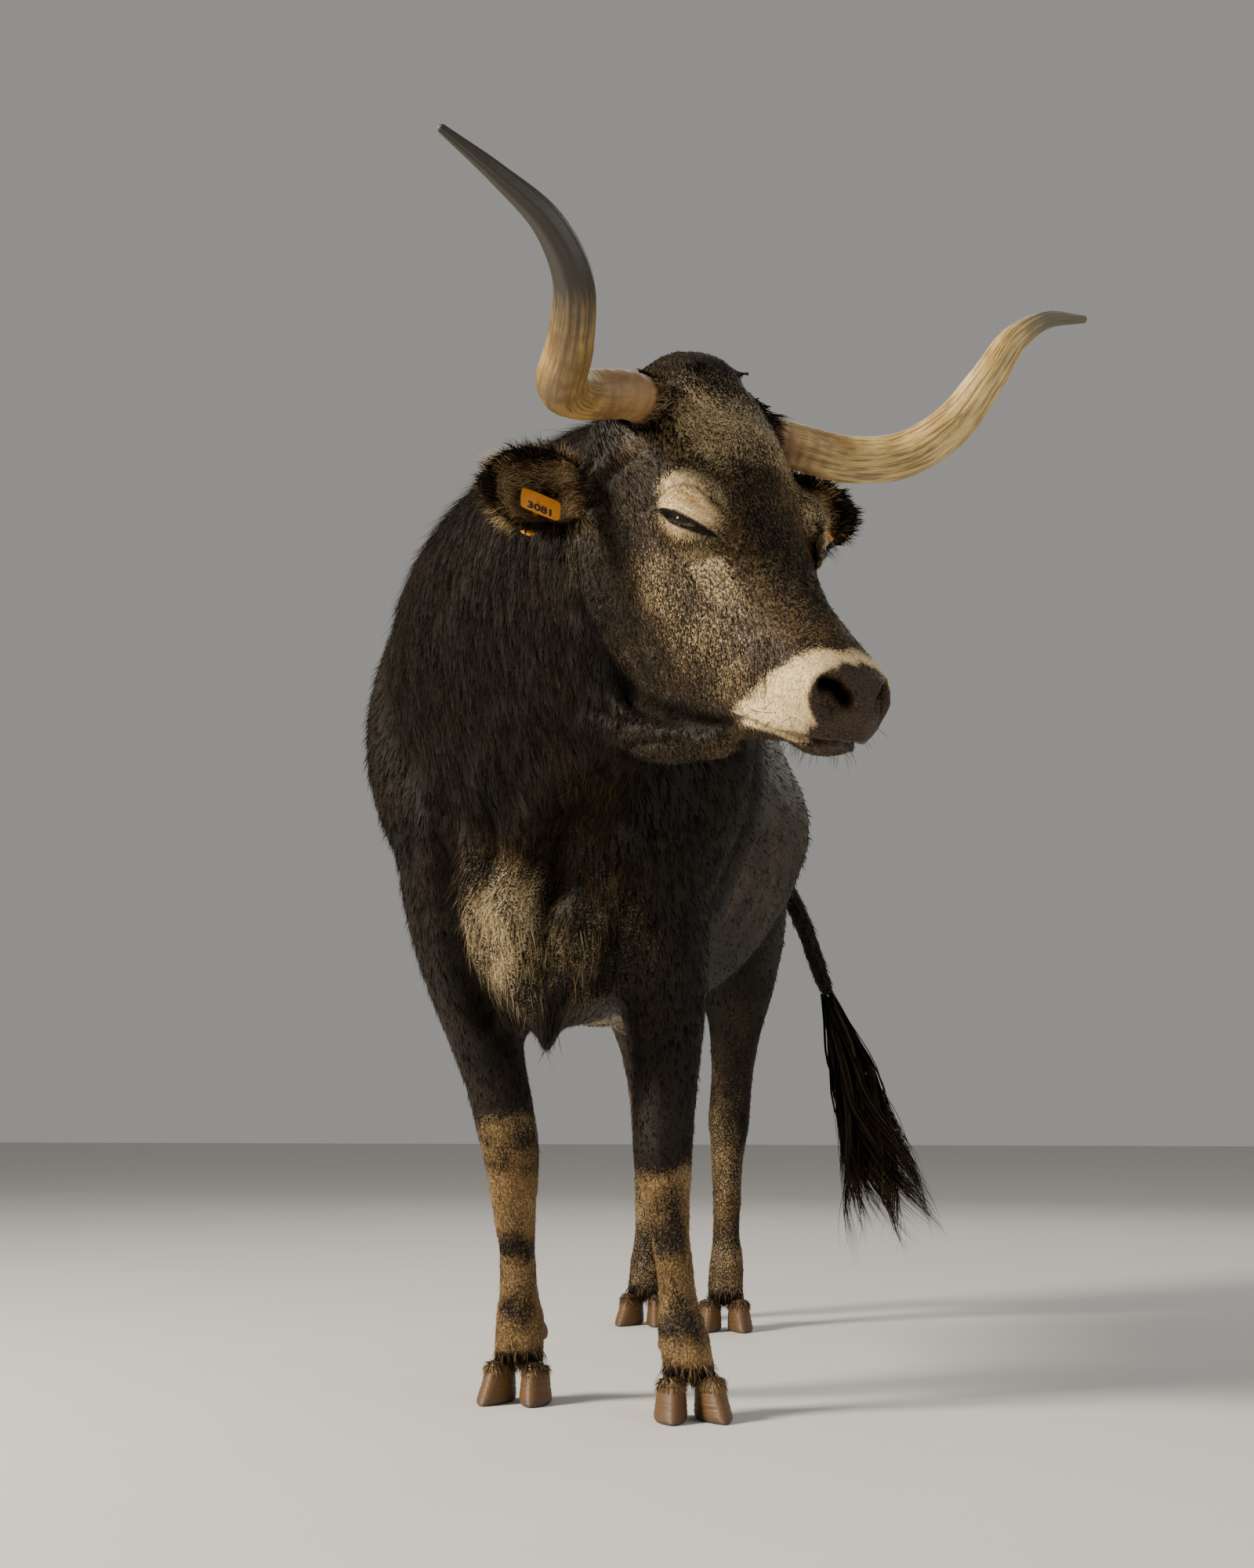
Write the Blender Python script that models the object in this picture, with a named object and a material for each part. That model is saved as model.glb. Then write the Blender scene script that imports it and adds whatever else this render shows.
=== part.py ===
"""Tudanca cattle, a life-size standing model of one adult animal, in metres.

The animal faces -Y and turns its head to its left, which is +X. The floor is z = 0.
The flesh is lofted whole, blended, and parted with thin plane cuts where its parts meet.
Horns, eyes, ears, ear tags, claws and dewclaws are pieces of their own, set in sockets.
"""
import math
import random

import bmesh
import bpy
import numpy as np
from mathutils import Matrix, Vector
from mathutils.bvhtree import BVHTree

# Driving dimensions
GAP = 0.0003                      # clearance between neighbouring pieces
SEED = 7
BLEND_VOXEL = 0.010               # grain of the blend between the lofts
RING_LEVELS = (0.13, 0.48, 0.85)  # depths of a ring's three side points, from its top
FINE_TRIANGLES = 10500            # whole flesh as thinned for the head
COARSE_TRIANGLES = 3000           # whole flesh as thinned for the body and legs
FACE_TRIANGLES = 1700             # head with its lips and lids, before its openings are cut

# Trunk stations from brisket to rump: y, top, bottom, upper, middle and lower half width
TRUNK = (
    (-0.560, 1.00, 0.66, 0.050, 0.090, 0.050),
    (-0.510, 1.17, 0.57, 0.125, 0.195, 0.095),
    (-0.420, 1.31, 0.56, 0.235, 0.292, 0.140),
    (-0.300, 1.37, 0.57, 0.255, 0.320, 0.190),
    (-0.120, 1.36, 0.58, 0.205, 0.322, 0.215),
    (0.080, 1.32, 0.58, 0.185, 0.335, 0.225),
    (0.280, 1.31, 0.60, 0.195, 0.352, 0.235),
    (0.460, 1.315, 0.64, 0.205, 0.340, 0.215),
    (0.620, 1.335, 0.72, 0.225, 0.290, 0.175),
    (0.780, 1.345, 0.80, 0.185, 0.255, 0.150),
    (0.920, 1.32, 0.86, 0.130, 0.205, 0.120),
    (1.010, 1.27, 0.93, 0.090, 0.150, 0.085),
    (1.050, 1.20, 1.00, 0.040, 0.070, 0.040),
)

# Neck stations from shoulders to poll: x, y, turn in degrees, then as for the trunk
NECK = (
    (0.000, -0.20, 0, 1.36, 0.66, 0.150, 0.230, 0.150),
    (0.000, -0.40, 4, 1.39, 0.70, 0.210, 0.268, 0.140),
    (0.030, -0.58, 18, 1.41, 0.80, 0.158, 0.204, 0.115),
    (0.105, -0.73, 32, 1.405, 0.89, 0.118, 0.152, 0.090),
    (0.180, -0.85, 42, 1.390, 0.95, 0.096, 0.130, 0.080),
    (0.245, -0.92, 47, 1.380, 1.00, 0.084, 0.116, 0.075),
    (0.290, -0.965, 47, 1.375, 1.05, 0.076, 0.104, 0.065),
)

# Head: where its poll stands and how it turns, nods and tilts
POLL = (0.319, -1.006, 1.388)
HEAD_TURN = 46.7
HEAD_NOD = 48.9
HEAD_TILT = -1.5

# Head stations down the face: distance, top, bottom, upper, middle and lower half width
HEAD = (
    (-0.060, -0.060, -0.200, 0.050, 0.070, 0.040),
    (-0.035, -0.015, -0.250, 0.085, 0.105, 0.060),
    (0.010, 0.000, -0.280, 0.100, 0.118, 0.070),
    (0.080, -0.002, -0.310, 0.098, 0.112, 0.072),
    (0.150, -0.012, -0.340, 0.098, 0.112, 0.070),
    (0.215, -0.028, -0.356, 0.094, 0.110, 0.062),
    (0.285, -0.046, -0.340, 0.072, 0.098, 0.050),
    (0.355, -0.060, -0.304, 0.056, 0.082, 0.044),
    (0.425, -0.066, -0.252, 0.053, 0.072, 0.045),
    (0.480, -0.066, -0.210, 0.058, 0.072, 0.050),
    (0.515, -0.074, -0.200, 0.057, 0.069, 0.048),
    (0.540, -0.094, -0.180, 0.042, 0.053, 0.036),
)
BROW = (0.088, 0.200, -0.066)     # middle of the bony ridge over an eye
BROW_RADII = (0.032, 0.062, 0.036)
CREST = (0.0, -0.005, -0.020)     # bulge of the poll between the horns
CREST_RADII = (0.085, 0.060, 0.045)
THROAT_LINE = ((0, 0.130, -0.450), (0, 0.240, -0.400), (0, 0.310, -0.345), (0, 0.375, -0.285))
THROAT_RADII = (0.055, 0.046, 0.039, 0.030)

# Legs, top to bottom: x, y, z, half width, half depth
FORELEG_LEFT = (
    (0.135, -0.300, 1.000, 0.080, 0.120),
    (0.150, -0.320, 0.850, 0.090, 0.150),
    (0.159, -0.335, 0.720, 0.083, 0.135),
    (0.169, -0.352, 0.600, 0.071, 0.098),
    (0.174, -0.385, 0.490, 0.056, 0.062),
    (0.173, -0.415, 0.390, 0.050, 0.050),
    (0.178, -0.415, 0.325, 0.043, 0.044),
    (0.188, -0.415, 0.245, 0.033, 0.036),
    (0.198, -0.420, 0.165, 0.034, 0.037),
    (0.205, -0.425, 0.120, 0.045, 0.045),
    (0.214, -0.440, 0.080, 0.042, 0.042),
    (0.222, -0.458, 0.040, 0.047, 0.050),
)
FORELEG_RIGHT = (
    (-0.165, -0.300, 1.000, 0.080, 0.120),
    (-0.175, -0.320, 0.850, 0.090, 0.150),
    (-0.160, -0.330, 0.720, 0.083, 0.135),
    (-0.130, -0.342, 0.600, 0.071, 0.098),
    (-0.094, -0.360, 0.490, 0.056, 0.062),
    (-0.071, -0.362, 0.390, 0.050, 0.050),
    (-0.068, -0.352, 0.325, 0.042, 0.044),
    (-0.066, -0.332, 0.245, 0.034, 0.036),
    (-0.066, -0.312, 0.165, 0.035, 0.037),
    (-0.066, -0.300, 0.120, 0.045, 0.045),
    (-0.067, -0.304, 0.080, 0.042, 0.042),
    (-0.068, -0.312, 0.040, 0.047, 0.050),
)
HIND_LEG = (
    (0.120, 0.760, 1.100, 0.115, 0.220),
    (0.145, 0.765, 0.950, 0.122, 0.225),
    (0.158, 0.755, 0.820, 0.112, 0.190),
    (0.162, 0.770, 0.700, 0.084, 0.135),
    (0.150, 0.820, 0.590, 0.058, 0.082),
    (0.136, 0.870, 0.490, 0.048, 0.064),
    (0.130, 0.880, 0.420, 0.047, 0.056),
    (0.127, 0.868, 0.330, 0.036, 0.042),
    (0.126, 0.860, 0.230, 0.032, 0.037),
    (0.126, 0.855, 0.165, 0.034, 0.038),
    (0.126, 0.848, 0.120, 0.043, 0.044),
    (0.126, 0.828, 0.080, 0.040, 0.042),
    (0.126, 0.810, 0.040, 0.045, 0.050),
)
HIND_RIGHT_STEP = (-0.178, 0.095)  # how far the right hind foot stands from the left one
ELBOW = (0.165, -0.250, 0.700, 0.050)
HOCK_POINT = (0.000, 0.052, 0.030, 0.026)
HIP_BONE = (0.178, 0.620, 1.225, 0.078)
PIN_BONE = (0.085, 0.965, 1.135, 0.068)
SHEATH = (0.0, 0.360, 0.615)
SHEATH_RADII = (0.040, 0.120, 0.045)
DEWLAP_NUB = (0.010, -0.480, 0.560)
DEWLAP_NUB_RADII = (0.020, 0.045, 0.040)

# Claws: length, width and height of one, the cleft, and the slant of the coronet
CLAW_LENGTH = 0.108
CLAW_WIDTH = 0.050
CLAW_CLEFT = 0.006
CLAW_SPLAY = 0.11                  # how far the toes part, per length of claw
CORONET_HEIGHT = 0.058
CORONET_SLANT = 0.28
DEWCLAW_LENGTH = 0.040
DEWCLAW_RADIUS = 0.013
DEWCLAW_HEIGHT = 0.118

# Horn lines in the head's frame: to its own side, down the face, out of the forehead
HORN_LEFT = (
    (0.090, 0.020, -0.062), (0.146, 0.045, -0.046), (0.211, 0.082, -0.030),
    (0.267, 0.112, 0.008), (0.310, 0.118, 0.068), (0.343, 0.098, 0.132),
    (0.382, 0.064, 0.185), (0.444, 0.037, 0.214), (0.520, 0.025, 0.225),
)
HORN_RIGHT = (
    (0.080, 0.030, -0.040), (0.141, 0.048, -0.022), (0.218, 0.067, -0.024),
    (0.276, 0.098, 0.001), (0.305, 0.116, 0.066), (0.334, 0.110, 0.136),
    (0.384, 0.084, 0.186), (0.449, 0.050, 0.212), (0.517, 0.012, 0.231),
)
HORN_RADII = (0.030, 0.031, 0.032, 0.0315, 0.029, 0.025, 0.0195, 0.0125, 0.0055)
HORN_SIDES = 10
HORN_RINGS = 15

# Eyes, nostrils and mouth in the head's frame
EYE = (0.096, 0.222, -0.086)
EYE_RADIUS = 0.0235
EYE_SEGMENTS = 12
EYE_RINGS = 9
LID_THICKNESS = 0.0045
LID_SLIT = (0.028, 0.0080)        # half length and half height of the opening
LID_SLANT = -14.0                 # how far the opening's inner corner lies below the outer
NOSTRIL = (0.044, 0.530, -0.104)
NOSTRIL_RADII = (0.012, 0.022, 0.018)
MOUTH_LINE = ((0.054, 0.430, -0.204), (0.060, 0.470, -0.184), (0.060, 0.505, -0.168),
              (0.042, 0.532, -0.156), (0.000, 0.540, -0.152))
LIP_RADIUS = 0.0095
LIP_SPACING = 0.0085

# Ears: root and tip in the head's frame, width and depth of the cup
EAR_ROOT = (0.092, 0.060, -0.150)
EAR_TIP_LEFT = (0.285, 0.085, -0.105)
EAR_TIP_RIGHT = (0.278, 0.046, -0.189)
EAR_HALF_WIDTH = 0.062
EAR_DEPTH = 0.046
EAR_CUP = 0.036
EAR_RIM_LOCKS = 11
EAR_CUP_LOCKS = 3
TAG_PLACE_LEFT = (0.62, 0.034)    # share of the ear's length, distance below its middle line
TAG_PLACE_RIGHT = (0.56, 0.019)
TAG_SIZE = (0.056, 0.040, 0.0022)
TAG_STUD_RADIUS = 0.0042

# Tail and its switch, and the hair of the poll
TAIL_LINE = ((0.000, 0.960, 1.240), (0.005, 1.055, 1.235), (0.050, 1.120, 1.165),
             (0.135, 1.150, 1.050), (0.215, 1.145, 0.950), (0.262, 1.125, 0.865),
             (0.300, 1.110, 0.760), (0.336, 1.095, 0.650), (0.362, 1.085, 0.560),
             (0.385, 1.080, 0.470), (0.405, 1.075, 0.390))
TAIL_RADII = (0.052, 0.044, 0.034, 0.029, 0.026, 0.024, 0.022, 0.020, 0.017, 0.013, 0.008)
SWITCH_START = 0.66
SWITCH_LOCKS = 18
SWITCH_END = 0.100                # height of the lowest lock ends
GOLDEN_TURN = 2.39996             # turn between neighbouring locks, so that none lines up
# Rows of poll locks: distance down the face, number of locks, reach to each side
POLL_ROWS = ((-0.014, 5, 0.082), (0.018, 5, 0.084), (0.054, 4, 0.070), (0.092, 4, 0.050))
POLL_LOCK_LENGTH = 0.060

HIDE_DARK = (0.030, 0.024, 0.020)
HIDE_GREY = (0.150, 0.125, 0.100)
HIDE_TAN = (0.170, 0.105, 0.055)
HORN_CREAM = (0.560, 0.420, 0.220)
CLAW_TAN = (0.330, 0.190, 0.090)
EYE_BROWN = (0.012, 0.008, 0.006)
TAG_ORANGE = (0.850, 0.270, 0.020)


def clear_scene():
    for thing in list(bpy.data.objects):
        bpy.data.objects.remove(thing, do_unlink=True)


def material(name, colour, roughness, metallic=0.0):
    finish = bpy.data.materials.new(name)
    finish.use_nodes = True
    shader = finish.node_tree.nodes["Principled BSDF"]
    shader.inputs["Base Color"].default_value = (*colour, 1.0)
    shader.inputs["Roughness"].default_value = roughness
    shader.inputs["Metallic"].default_value = metallic
    return finish


def open_curve(points, count):
    """Smooth curve through the rows of points, sampled evenly in parameter."""
    rows = np.asarray(points, dtype=float)
    last = len(rows) - 1
    padded = np.vstack([2 * rows[0] - rows[1], rows, 2 * rows[-1] - rows[-2]])
    samples = []
    for place in np.linspace(0, last, count):
        index = min(int(place), last - 1)
        samples.append(blend_four(padded[index:index + 4], place - index))
    return np.array(samples)


def closed_curve(points, count):
    """Smooth closed curve through the points."""
    rows = np.asarray(points, dtype=float)
    size = len(rows)
    samples = []
    for place in np.linspace(0, size, count, endpoint=False):
        index = int(place)
        four = rows[[(index + step - 1) % size for step in range(4)]]
        samples.append(blend_four(four, place - index))
    return np.array(samples)


def blend_four(four, share):
    """Cubic blend between the middle two of four neighbours."""
    before, start, end, after = four
    linear = end - before
    square = 2 * before - 5 * start + 4 * end - after
    cube = 3 * start - 3 * end + after - before
    return 0.5 * (2 * start + linear * share + square * share ** 2 + cube * share ** 3)


def body_ring(top, bottom, upper, middle, lower, count):
    """Outline of a cross-section as (side, height) pairs, from its top round to the right."""
    depth = top - bottom
    heights = [top - depth * level for level in RING_LEVELS]
    right = [(0.0, top), (upper, heights[0]), (middle, heights[1]), (lower, heights[2])]
    left = [(-side, height) for side, height in right[:0:-1]]
    return closed_curve(right + [(0.0, bottom)] + left, count)


def new_object(name, vertices, faces):
    mesh = bpy.data.meshes.new(name)
    mesh.from_pydata([tuple(map(float, place)) for place in vertices], [], faces)
    shape = bmesh.new()
    shape.from_mesh(mesh)
    bmesh.ops.recalc_face_normals(shape, faces=shape.faces[:])
    bmesh.ops.triangulate(shape, faces=[face for face in shape.faces if len(face.verts) > 4])
    shape.to_mesh(mesh)
    shape.free()
    thing = bpy.data.objects.new(name, mesh)
    bpy.context.scene.collection.objects.link(thing)
    return thing


def loft(name, rings, pointed=False):
    """Closed surface through rings of equal size; a pointed one ends in its last ring's middle."""
    count = len(rings[0])
    vertices = [place for ring in rings for place in ring]
    faces = []
    for row in range(len(rings) - 1):
        for step in range(count):
            across = (step + 1) % count
            low = row * count
            high = low + count
            faces.append((low + step, low + across, high + across))
            faces.append((low + step, high + across, high + step))
    faces.append(tuple(range(count)))
    if pointed:
        vertices = vertices[:-count] + [np.mean(rings[-1], axis=0)]
        faces = faces[:-1 - 2 * count] + [faces[-1]]
        base = (len(rings) - 2) * count
        tip = len(vertices) - 1
        faces += [(base + step, base + (step + 1) % count, tip) for step in range(count)]
    else:
        faces.append(tuple(range((len(rings) - 1) * count, len(rings) * count)))
    return new_object(name, vertices, faces)


def ellipsoid(name, centre, radii, axes=None, segments=12, rings=8):
    """Rounded lump with its own axes, by default the world's."""
    shape = bmesh.new()
    bmesh.ops.create_uvsphere(shape, u_segments=segments, v_segments=rings, radius=1.0)
    frame = np.eye(3) if axes is None else np.asarray(axes)
    stretch = frame @ np.diag(radii)
    turn = Matrix([list(row) for row in stretch]).to_4x4()
    turn.translation = Vector(centre)
    bmesh.ops.transform(shape, matrix=turn, verts=shape.verts[:])
    bmesh.ops.recalc_face_normals(shape, faces=shape.faces[:])
    mesh = bpy.data.meshes.new(name)
    shape.to_mesh(mesh)
    shape.free()
    thing = bpy.data.objects.new(name, mesh)
    bpy.context.scene.collection.objects.link(thing)
    return thing


def settle(thing):
    """Replace an object's mesh by the result of its modifiers."""
    graph = bpy.context.evaluated_depsgraph_get()
    mesh = bpy.data.meshes.new_from_object(thing.evaluated_get(graph))
    old = thing.data
    thing.modifiers.clear()
    thing.data = mesh
    bpy.data.meshes.remove(old)


def copy_of(thing, name):
    twin = thing.copy()
    twin.data = thing.data.copy()
    twin.name = name
    bpy.context.scene.collection.objects.link(twin)
    return twin


def remove(thing):
    bpy.data.objects.remove(thing, do_unlink=True)


def largest_surface(thing):
    """Drop every loose piece of a mesh but the largest."""
    shape = bmesh.new()
    shape.from_mesh(thing.data)
    waiting = set(shape.faces)
    groups = []
    while waiting:
        group = []
        front = [waiting.pop()]
        while front:
            face = front.pop()
            group.append(face)
            near = {other for edge in face.edges for other in edge.link_faces}
            front.extend(near & waiting)
            waiting -= near
        groups.append(group)
    groups.sort(key=lambda group: sum(face.calc_area() for face in group))
    loose = [face for group in groups[:-1] for face in group]
    bmesh.ops.delete(shape, geom=loose, context="FACES")
    shape.to_mesh(thing.data)
    shape.free()


def boolean(target, cutter, operation, solver="EXACT"):
    modifier = target.modifiers.new("boolean", "BOOLEAN")
    modifier.operation = operation
    modifier.solver = solver
    modifier.object = cutter
    settle(target)


def carve(target, cutters):
    """Cut sockets in a piece, then remove the cutters."""
    for cutter in cutters:
        boolean(target, cutter, "DIFFERENCE")
        remove(cutter)
    largest_surface(target)


def fuse(target, pieces):
    """Join closed pieces to the target by one union; MANIFOLD, because EXACT is slow on locks."""
    group = bpy.data.collections.new("pieces")
    bpy.context.scene.collection.children.link(group)
    for piece in pieces:
        group.objects.link(piece)
    modifier = target.modifiers.new("union", "BOOLEAN")
    modifier.operation = "UNION"
    modifier.solver = "MANIFOLD"
    modifier.operand_type = "COLLECTION"
    modifier.collection = group
    settle(target)
    for piece in list(group.objects):
        remove(piece)
    bpy.data.collections.remove(group)
    largest_surface(target)


def region(planes):
    """Convex block kept by planes given as a point and the direction that is cut away."""
    shape = bmesh.new()
    bmesh.ops.create_cube(shape, size=6.0)
    for point, away in planes:
        normal = Vector(away).normalized()
        place = Vector(point) - normal * GAP / 2
        geometry = shape.verts[:] + shape.edges[:] + shape.faces[:]
        bmesh.ops.bisect_plane(shape, geom=geometry, plane_co=place, plane_no=normal,
                               clear_outer=True)
        rim = [edge for edge in shape.edges if edge.is_boundary]
        bmesh.ops.holes_fill(shape, edges=rim, sides=0)
    bmesh.ops.recalc_face_normals(shape, faces=shape.faces[:])
    bmesh.ops.triangulate(shape, faces=shape.faces[:])
    mesh = bpy.data.meshes.new("region")
    shape.to_mesh(mesh)
    shape.free()
    block = bpy.data.objects.new("region", mesh)
    bpy.context.scene.collection.objects.link(block)
    return block


def part_of(flesh, name, planes):
    """Named node: the share of the flesh inside a convex region."""
    node = copy_of(flesh, name)
    block = region(planes)
    boolean(node, block, "INTERSECT", "MANIFOLD")
    remove(block)
    largest_surface(node)
    return node


def head_axes():
    """Directions to the animal's left, down its face and out of its forehead, as columns."""
    turn, nod, tilt = np.radians((HEAD_TURN, HEAD_NOD, HEAD_TILT))
    left = np.array([math.cos(turn), math.sin(turn), 0.0])
    ahead = np.array([math.sin(turn), -math.cos(turn), 0.0])
    rise = np.array([0.0, 0.0, 1.0])
    face = ahead * math.cos(nod) - rise * math.sin(nod)
    brow = rise * math.cos(nod) + ahead * math.sin(nod)
    side = left * math.cos(tilt) - brow * math.sin(tilt)
    out = brow * math.cos(tilt) + left * math.sin(tilt)
    return np.stack([side, face, out], axis=1)


HEAD_AXES = head_axes()


def head_point(place, side=1):
    """World place of a point in the head's frame, mirrored for the animal's right side."""
    local = np.array(place, dtype=float) * np.array([side, 1, 1])
    return np.array(POLL) + HEAD_AXES @ local


def head_direction(way, side=1):
    return HEAD_AXES @ (np.array(way, dtype=float) * np.array([side, 1, 1]))


def trunk():
    rings = []
    for y, top, bottom, upper, middle, lower in open_curve(TRUNK, 30):
        outline = body_ring(top, bottom, upper, middle, lower, 32)
        rings.append([(side, y, height) for side, height in outline])
    return loft("trunk", rings)


def neck():
    rings = []
    for x, y, turn, top, bottom, upper, middle, lower in open_curve(NECK, 18):
        outline = body_ring(top, bottom, upper, middle, lower, 28)
        way = (math.cos(math.radians(turn)), math.sin(math.radians(turn)))
        rings.append([(x + side * way[0], y + side * way[1], height) for side, height in outline])
    return loft("neck_core", rings)


def skull():
    rings = []
    for down, top, bottom, upper, middle, lower in open_curve(HEAD, 30):
        outline = body_ring(top, bottom, upper, middle, lower, 28)
        rings.append([head_point((side, down, height)) for side, height in outline])
    return loft("skull", rings)


def leg(name, stations):
    rings = []
    for x, y, z, half_width, half_depth in open_curve(stations, 34):
        angles = np.linspace(0, 2 * math.pi, 20, endpoint=False)
        rings.append([(x + half_width * math.cos(angle), y + half_depth * math.sin(angle), z)
                      for angle in angles])
    return loft(name, rings)


def hind_right():
    """The left hind leg mirrored, its foot set back by the right leg's own step."""
    stations = []
    top = HIND_LEG[0][2]
    across, back = HIND_RIGHT_STEP
    for x, y, z, half_width, half_depth in HIND_LEG:
        drop = min(1.0, (top - z) / (top - HIND_LEG[6][2]))
        mirrored = -x * (1 - drop) + (x + across) * drop
        stations.append((mirrored, y + back * drop, z, half_width, half_depth))
    return tuple(stations)


HIND_RIGHT = hind_right()


def body_lumps():
    """Bones and folds that stand out of the smooth lofts."""
    lumps = []
    for side in (1, -1):
        for x, y, z, radius in (ELBOW, HIP_BONE, PIN_BONE):
            lumps.append(ellipsoid("bone", (side * x, y, z), (radius, radius * 1.3, radius)))
        brow = head_point(BROW, side)
        lumps.append(ellipsoid("brow", brow, BROW_RADII, HEAD_AXES))
    for stations in (HIND_LEG, HIND_RIGHT):
        x, y, z = stations[5][:3]
        across, back, rise, radius = HOCK_POINT
        lumps.append(ellipsoid("hock", (x + across, y + back, z + rise), (radius,) * 3))
    lumps.append(ellipsoid("crest", head_point(CREST), CREST_RADII, HEAD_AXES))
    lumps.append(tube("throat", [head_point(place) for place in THROAT_LINE], THROAT_RADII, 14, 9))
    lumps.append(ellipsoid("sheath", SHEATH, SHEATH_RADII))
    lumps.append(ellipsoid("nub", DEWLAP_NUB, DEWLAP_NUB_RADII))
    return lumps


def whole_flesh():
    """All the lofts blended to one smooth body."""
    pieces = [trunk(), neck(), skull(), leg("leg_a", FORELEG_LEFT), leg("leg_b", FORELEG_RIGHT),
              leg("leg_c", HIND_LEG), leg("leg_d", HIND_RIGHT)]
    pieces += body_lumps()
    shape = bmesh.new()
    for piece in pieces:
        shape.from_mesh(piece.data)
        remove(piece)
    mesh = bpy.data.meshes.new("flesh")
    shape.to_mesh(mesh)
    shape.free()
    flesh = bpy.data.objects.new("flesh", mesh)
    bpy.context.scene.collection.objects.link(flesh)
    blend = flesh.modifiers.new("blend", "REMESH")
    blend.mode = "VOXEL"
    blend.voxel_size = BLEND_VOXEL
    smooth = flesh.modifiers.new("smooth", "SMOOTH")
    smooth.factor = 0.5
    smooth.iterations = 7
    settle(flesh)
    largest_surface(flesh)
    return flesh


def thin_to(thing, triangles):
    """Collapse edges until about the given number of triangles is left."""
    thing.data.calc_loop_triangles()
    modifier = thing.modifiers.new("thin", "DECIMATE")
    modifier.ratio = min(1.0, triangles / len(thing.data.loop_triangles))
    settle(thing)


def thinned(flesh, name, triangles):
    """Copy of the flesh with about the given number of triangles."""
    copy = copy_of(flesh, name)
    thin_to(copy, triangles)
    return copy


# Where the flesh is parted: a point and the direction from the first named part to the second
HEAD_TO_NECK = (head_point((0, 0.090, -0.235)), head_direction((0, -0.62, -0.78)))
NECK_TO_CHEST = ((0, -0.440, 1.150), (0, 0.907, -0.420))
CHEST_TO_BARREL = ((0, -0.100, 0), (0, 1, 0))
BARREL_TO_RUMP = ((0, 0.550, 0), (0, 1, 0))
CHEST_TO_FORELEG = 0.500          # height at the midline; the cut rises outwards from there
RUMP_TO_HIND_LEG = 0.620
LEG_CUT_SLOPE = 0.80
KNEE_CUT = 0.332
HOCK_CUT = 0.385


def opposite(plane):
    point, way = plane
    return (point, tuple(-np.asarray(way, dtype=float)))


def leg_plane(height, side):
    """Slanting cut between trunk and leg; its direction points down and out, to the leg."""
    return ((0, 0, height), (side * LEG_CUT_SLOPE, 0, -1))


def midline(side):
    return ((0, 0, 0), (-side, 0, 0))


def level(height, way):
    return ((0, 0, height), (0, 0, way))


def foot_frame(stations, splay):
    """Middle of a foot at the coronet, the way it points and the normal of the coronet's cut."""
    x, y = stations[-1][:2]
    turn = math.radians(splay)
    ahead = np.array([math.sin(turn), -math.cos(turn), 0.0])
    upright = np.array([0.0, 0.0, 1.0]) - CORONET_SLANT * ahead
    middle = np.array([x, y, CORONET_HEIGHT])
    return middle, ahead, upright / np.linalg.norm(upright)


def claw(name, stations, splay, side):
    """One claw of a cloven foot: flat sole, sloping toe, cut off along the coronet."""
    middle, ahead, upright = foot_frame(stations, splay)
    across = np.array([-ahead[1], ahead[0], 0.0]) * side
    rings = []
    for height in (0.0, 0.004, 0.030, 0.085):
        front = 0.62 * CLAW_LENGTH - 0.62 * height
        back = -0.42 * CLAW_LENGTH + 0.10 * height
        width = CLAW_WIDTH * (1.04 - 2.4 * height) - (0.003 if height == 0.0 else 0.0)
        splay_here = CLAW_SPLAY * (1.0 - 8.0 * height)
        ring = []
        for angle in np.linspace(0, 2 * math.pi, 14, endpoint=False):
            run = (front + back) / 2 + (front - back) / 2 * math.cos(angle)
            taper = 1.0 - 0.34 * max(0.0, math.cos(angle)) ** 2
            lean = 0.5 * width * math.sin(angle) * taper
            lean *= 1.0 if lean > 0 else 0.86
            out = CLAW_WIDTH * 0.43 + CLAW_CLEFT / 2 + lean + splay_here * (run - back)
            place = middle + ahead * run + across * out
            ring.append((place[0], place[1], height))
        rings.append(ring)
    node = loft(name, rings)
    block = region([(tuple(middle), tuple(upright))])
    boolean(node, block, "INTERSECT", "MANIFOLD")
    remove(block)
    return node


def dewclaw(name, stations, splay, side, spare=0.0):
    """Small blunt horn behind the fetlock; spare widens it to cut its socket."""
    x, y = open_curve(stations, 60)[:, :2][-10]
    ahead = foot_frame(stations, splay)[1]
    across = np.array([-ahead[1], ahead[0], 0.0]) * side
    start = np.array([x, y, DEWCLAW_HEIGHT]) - ahead * 0.026 + across * 0.021
    way = -ahead * 0.62 - np.array([0, 0, 0.72]) + across * 0.12
    way /= np.linalg.norm(way)
    other = np.cross(way, across)
    rings = []
    for share, width in ((0.0, 0.9), (0.45, 1.0), (0.80, 0.72), (1.0, 0.30)):
        centre = start + way * (DEWCLAW_LENGTH * share + (2 * share - 1) * spare)
        radius = DEWCLAW_RADIUS * width + spare * 1.4
        rings.append([centre + radius * (across * math.cos(angle) + other * math.sin(angle))
                      for angle in np.linspace(0, 2 * math.pi, 6, endpoint=False)])
    return loft(name, rings)


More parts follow.
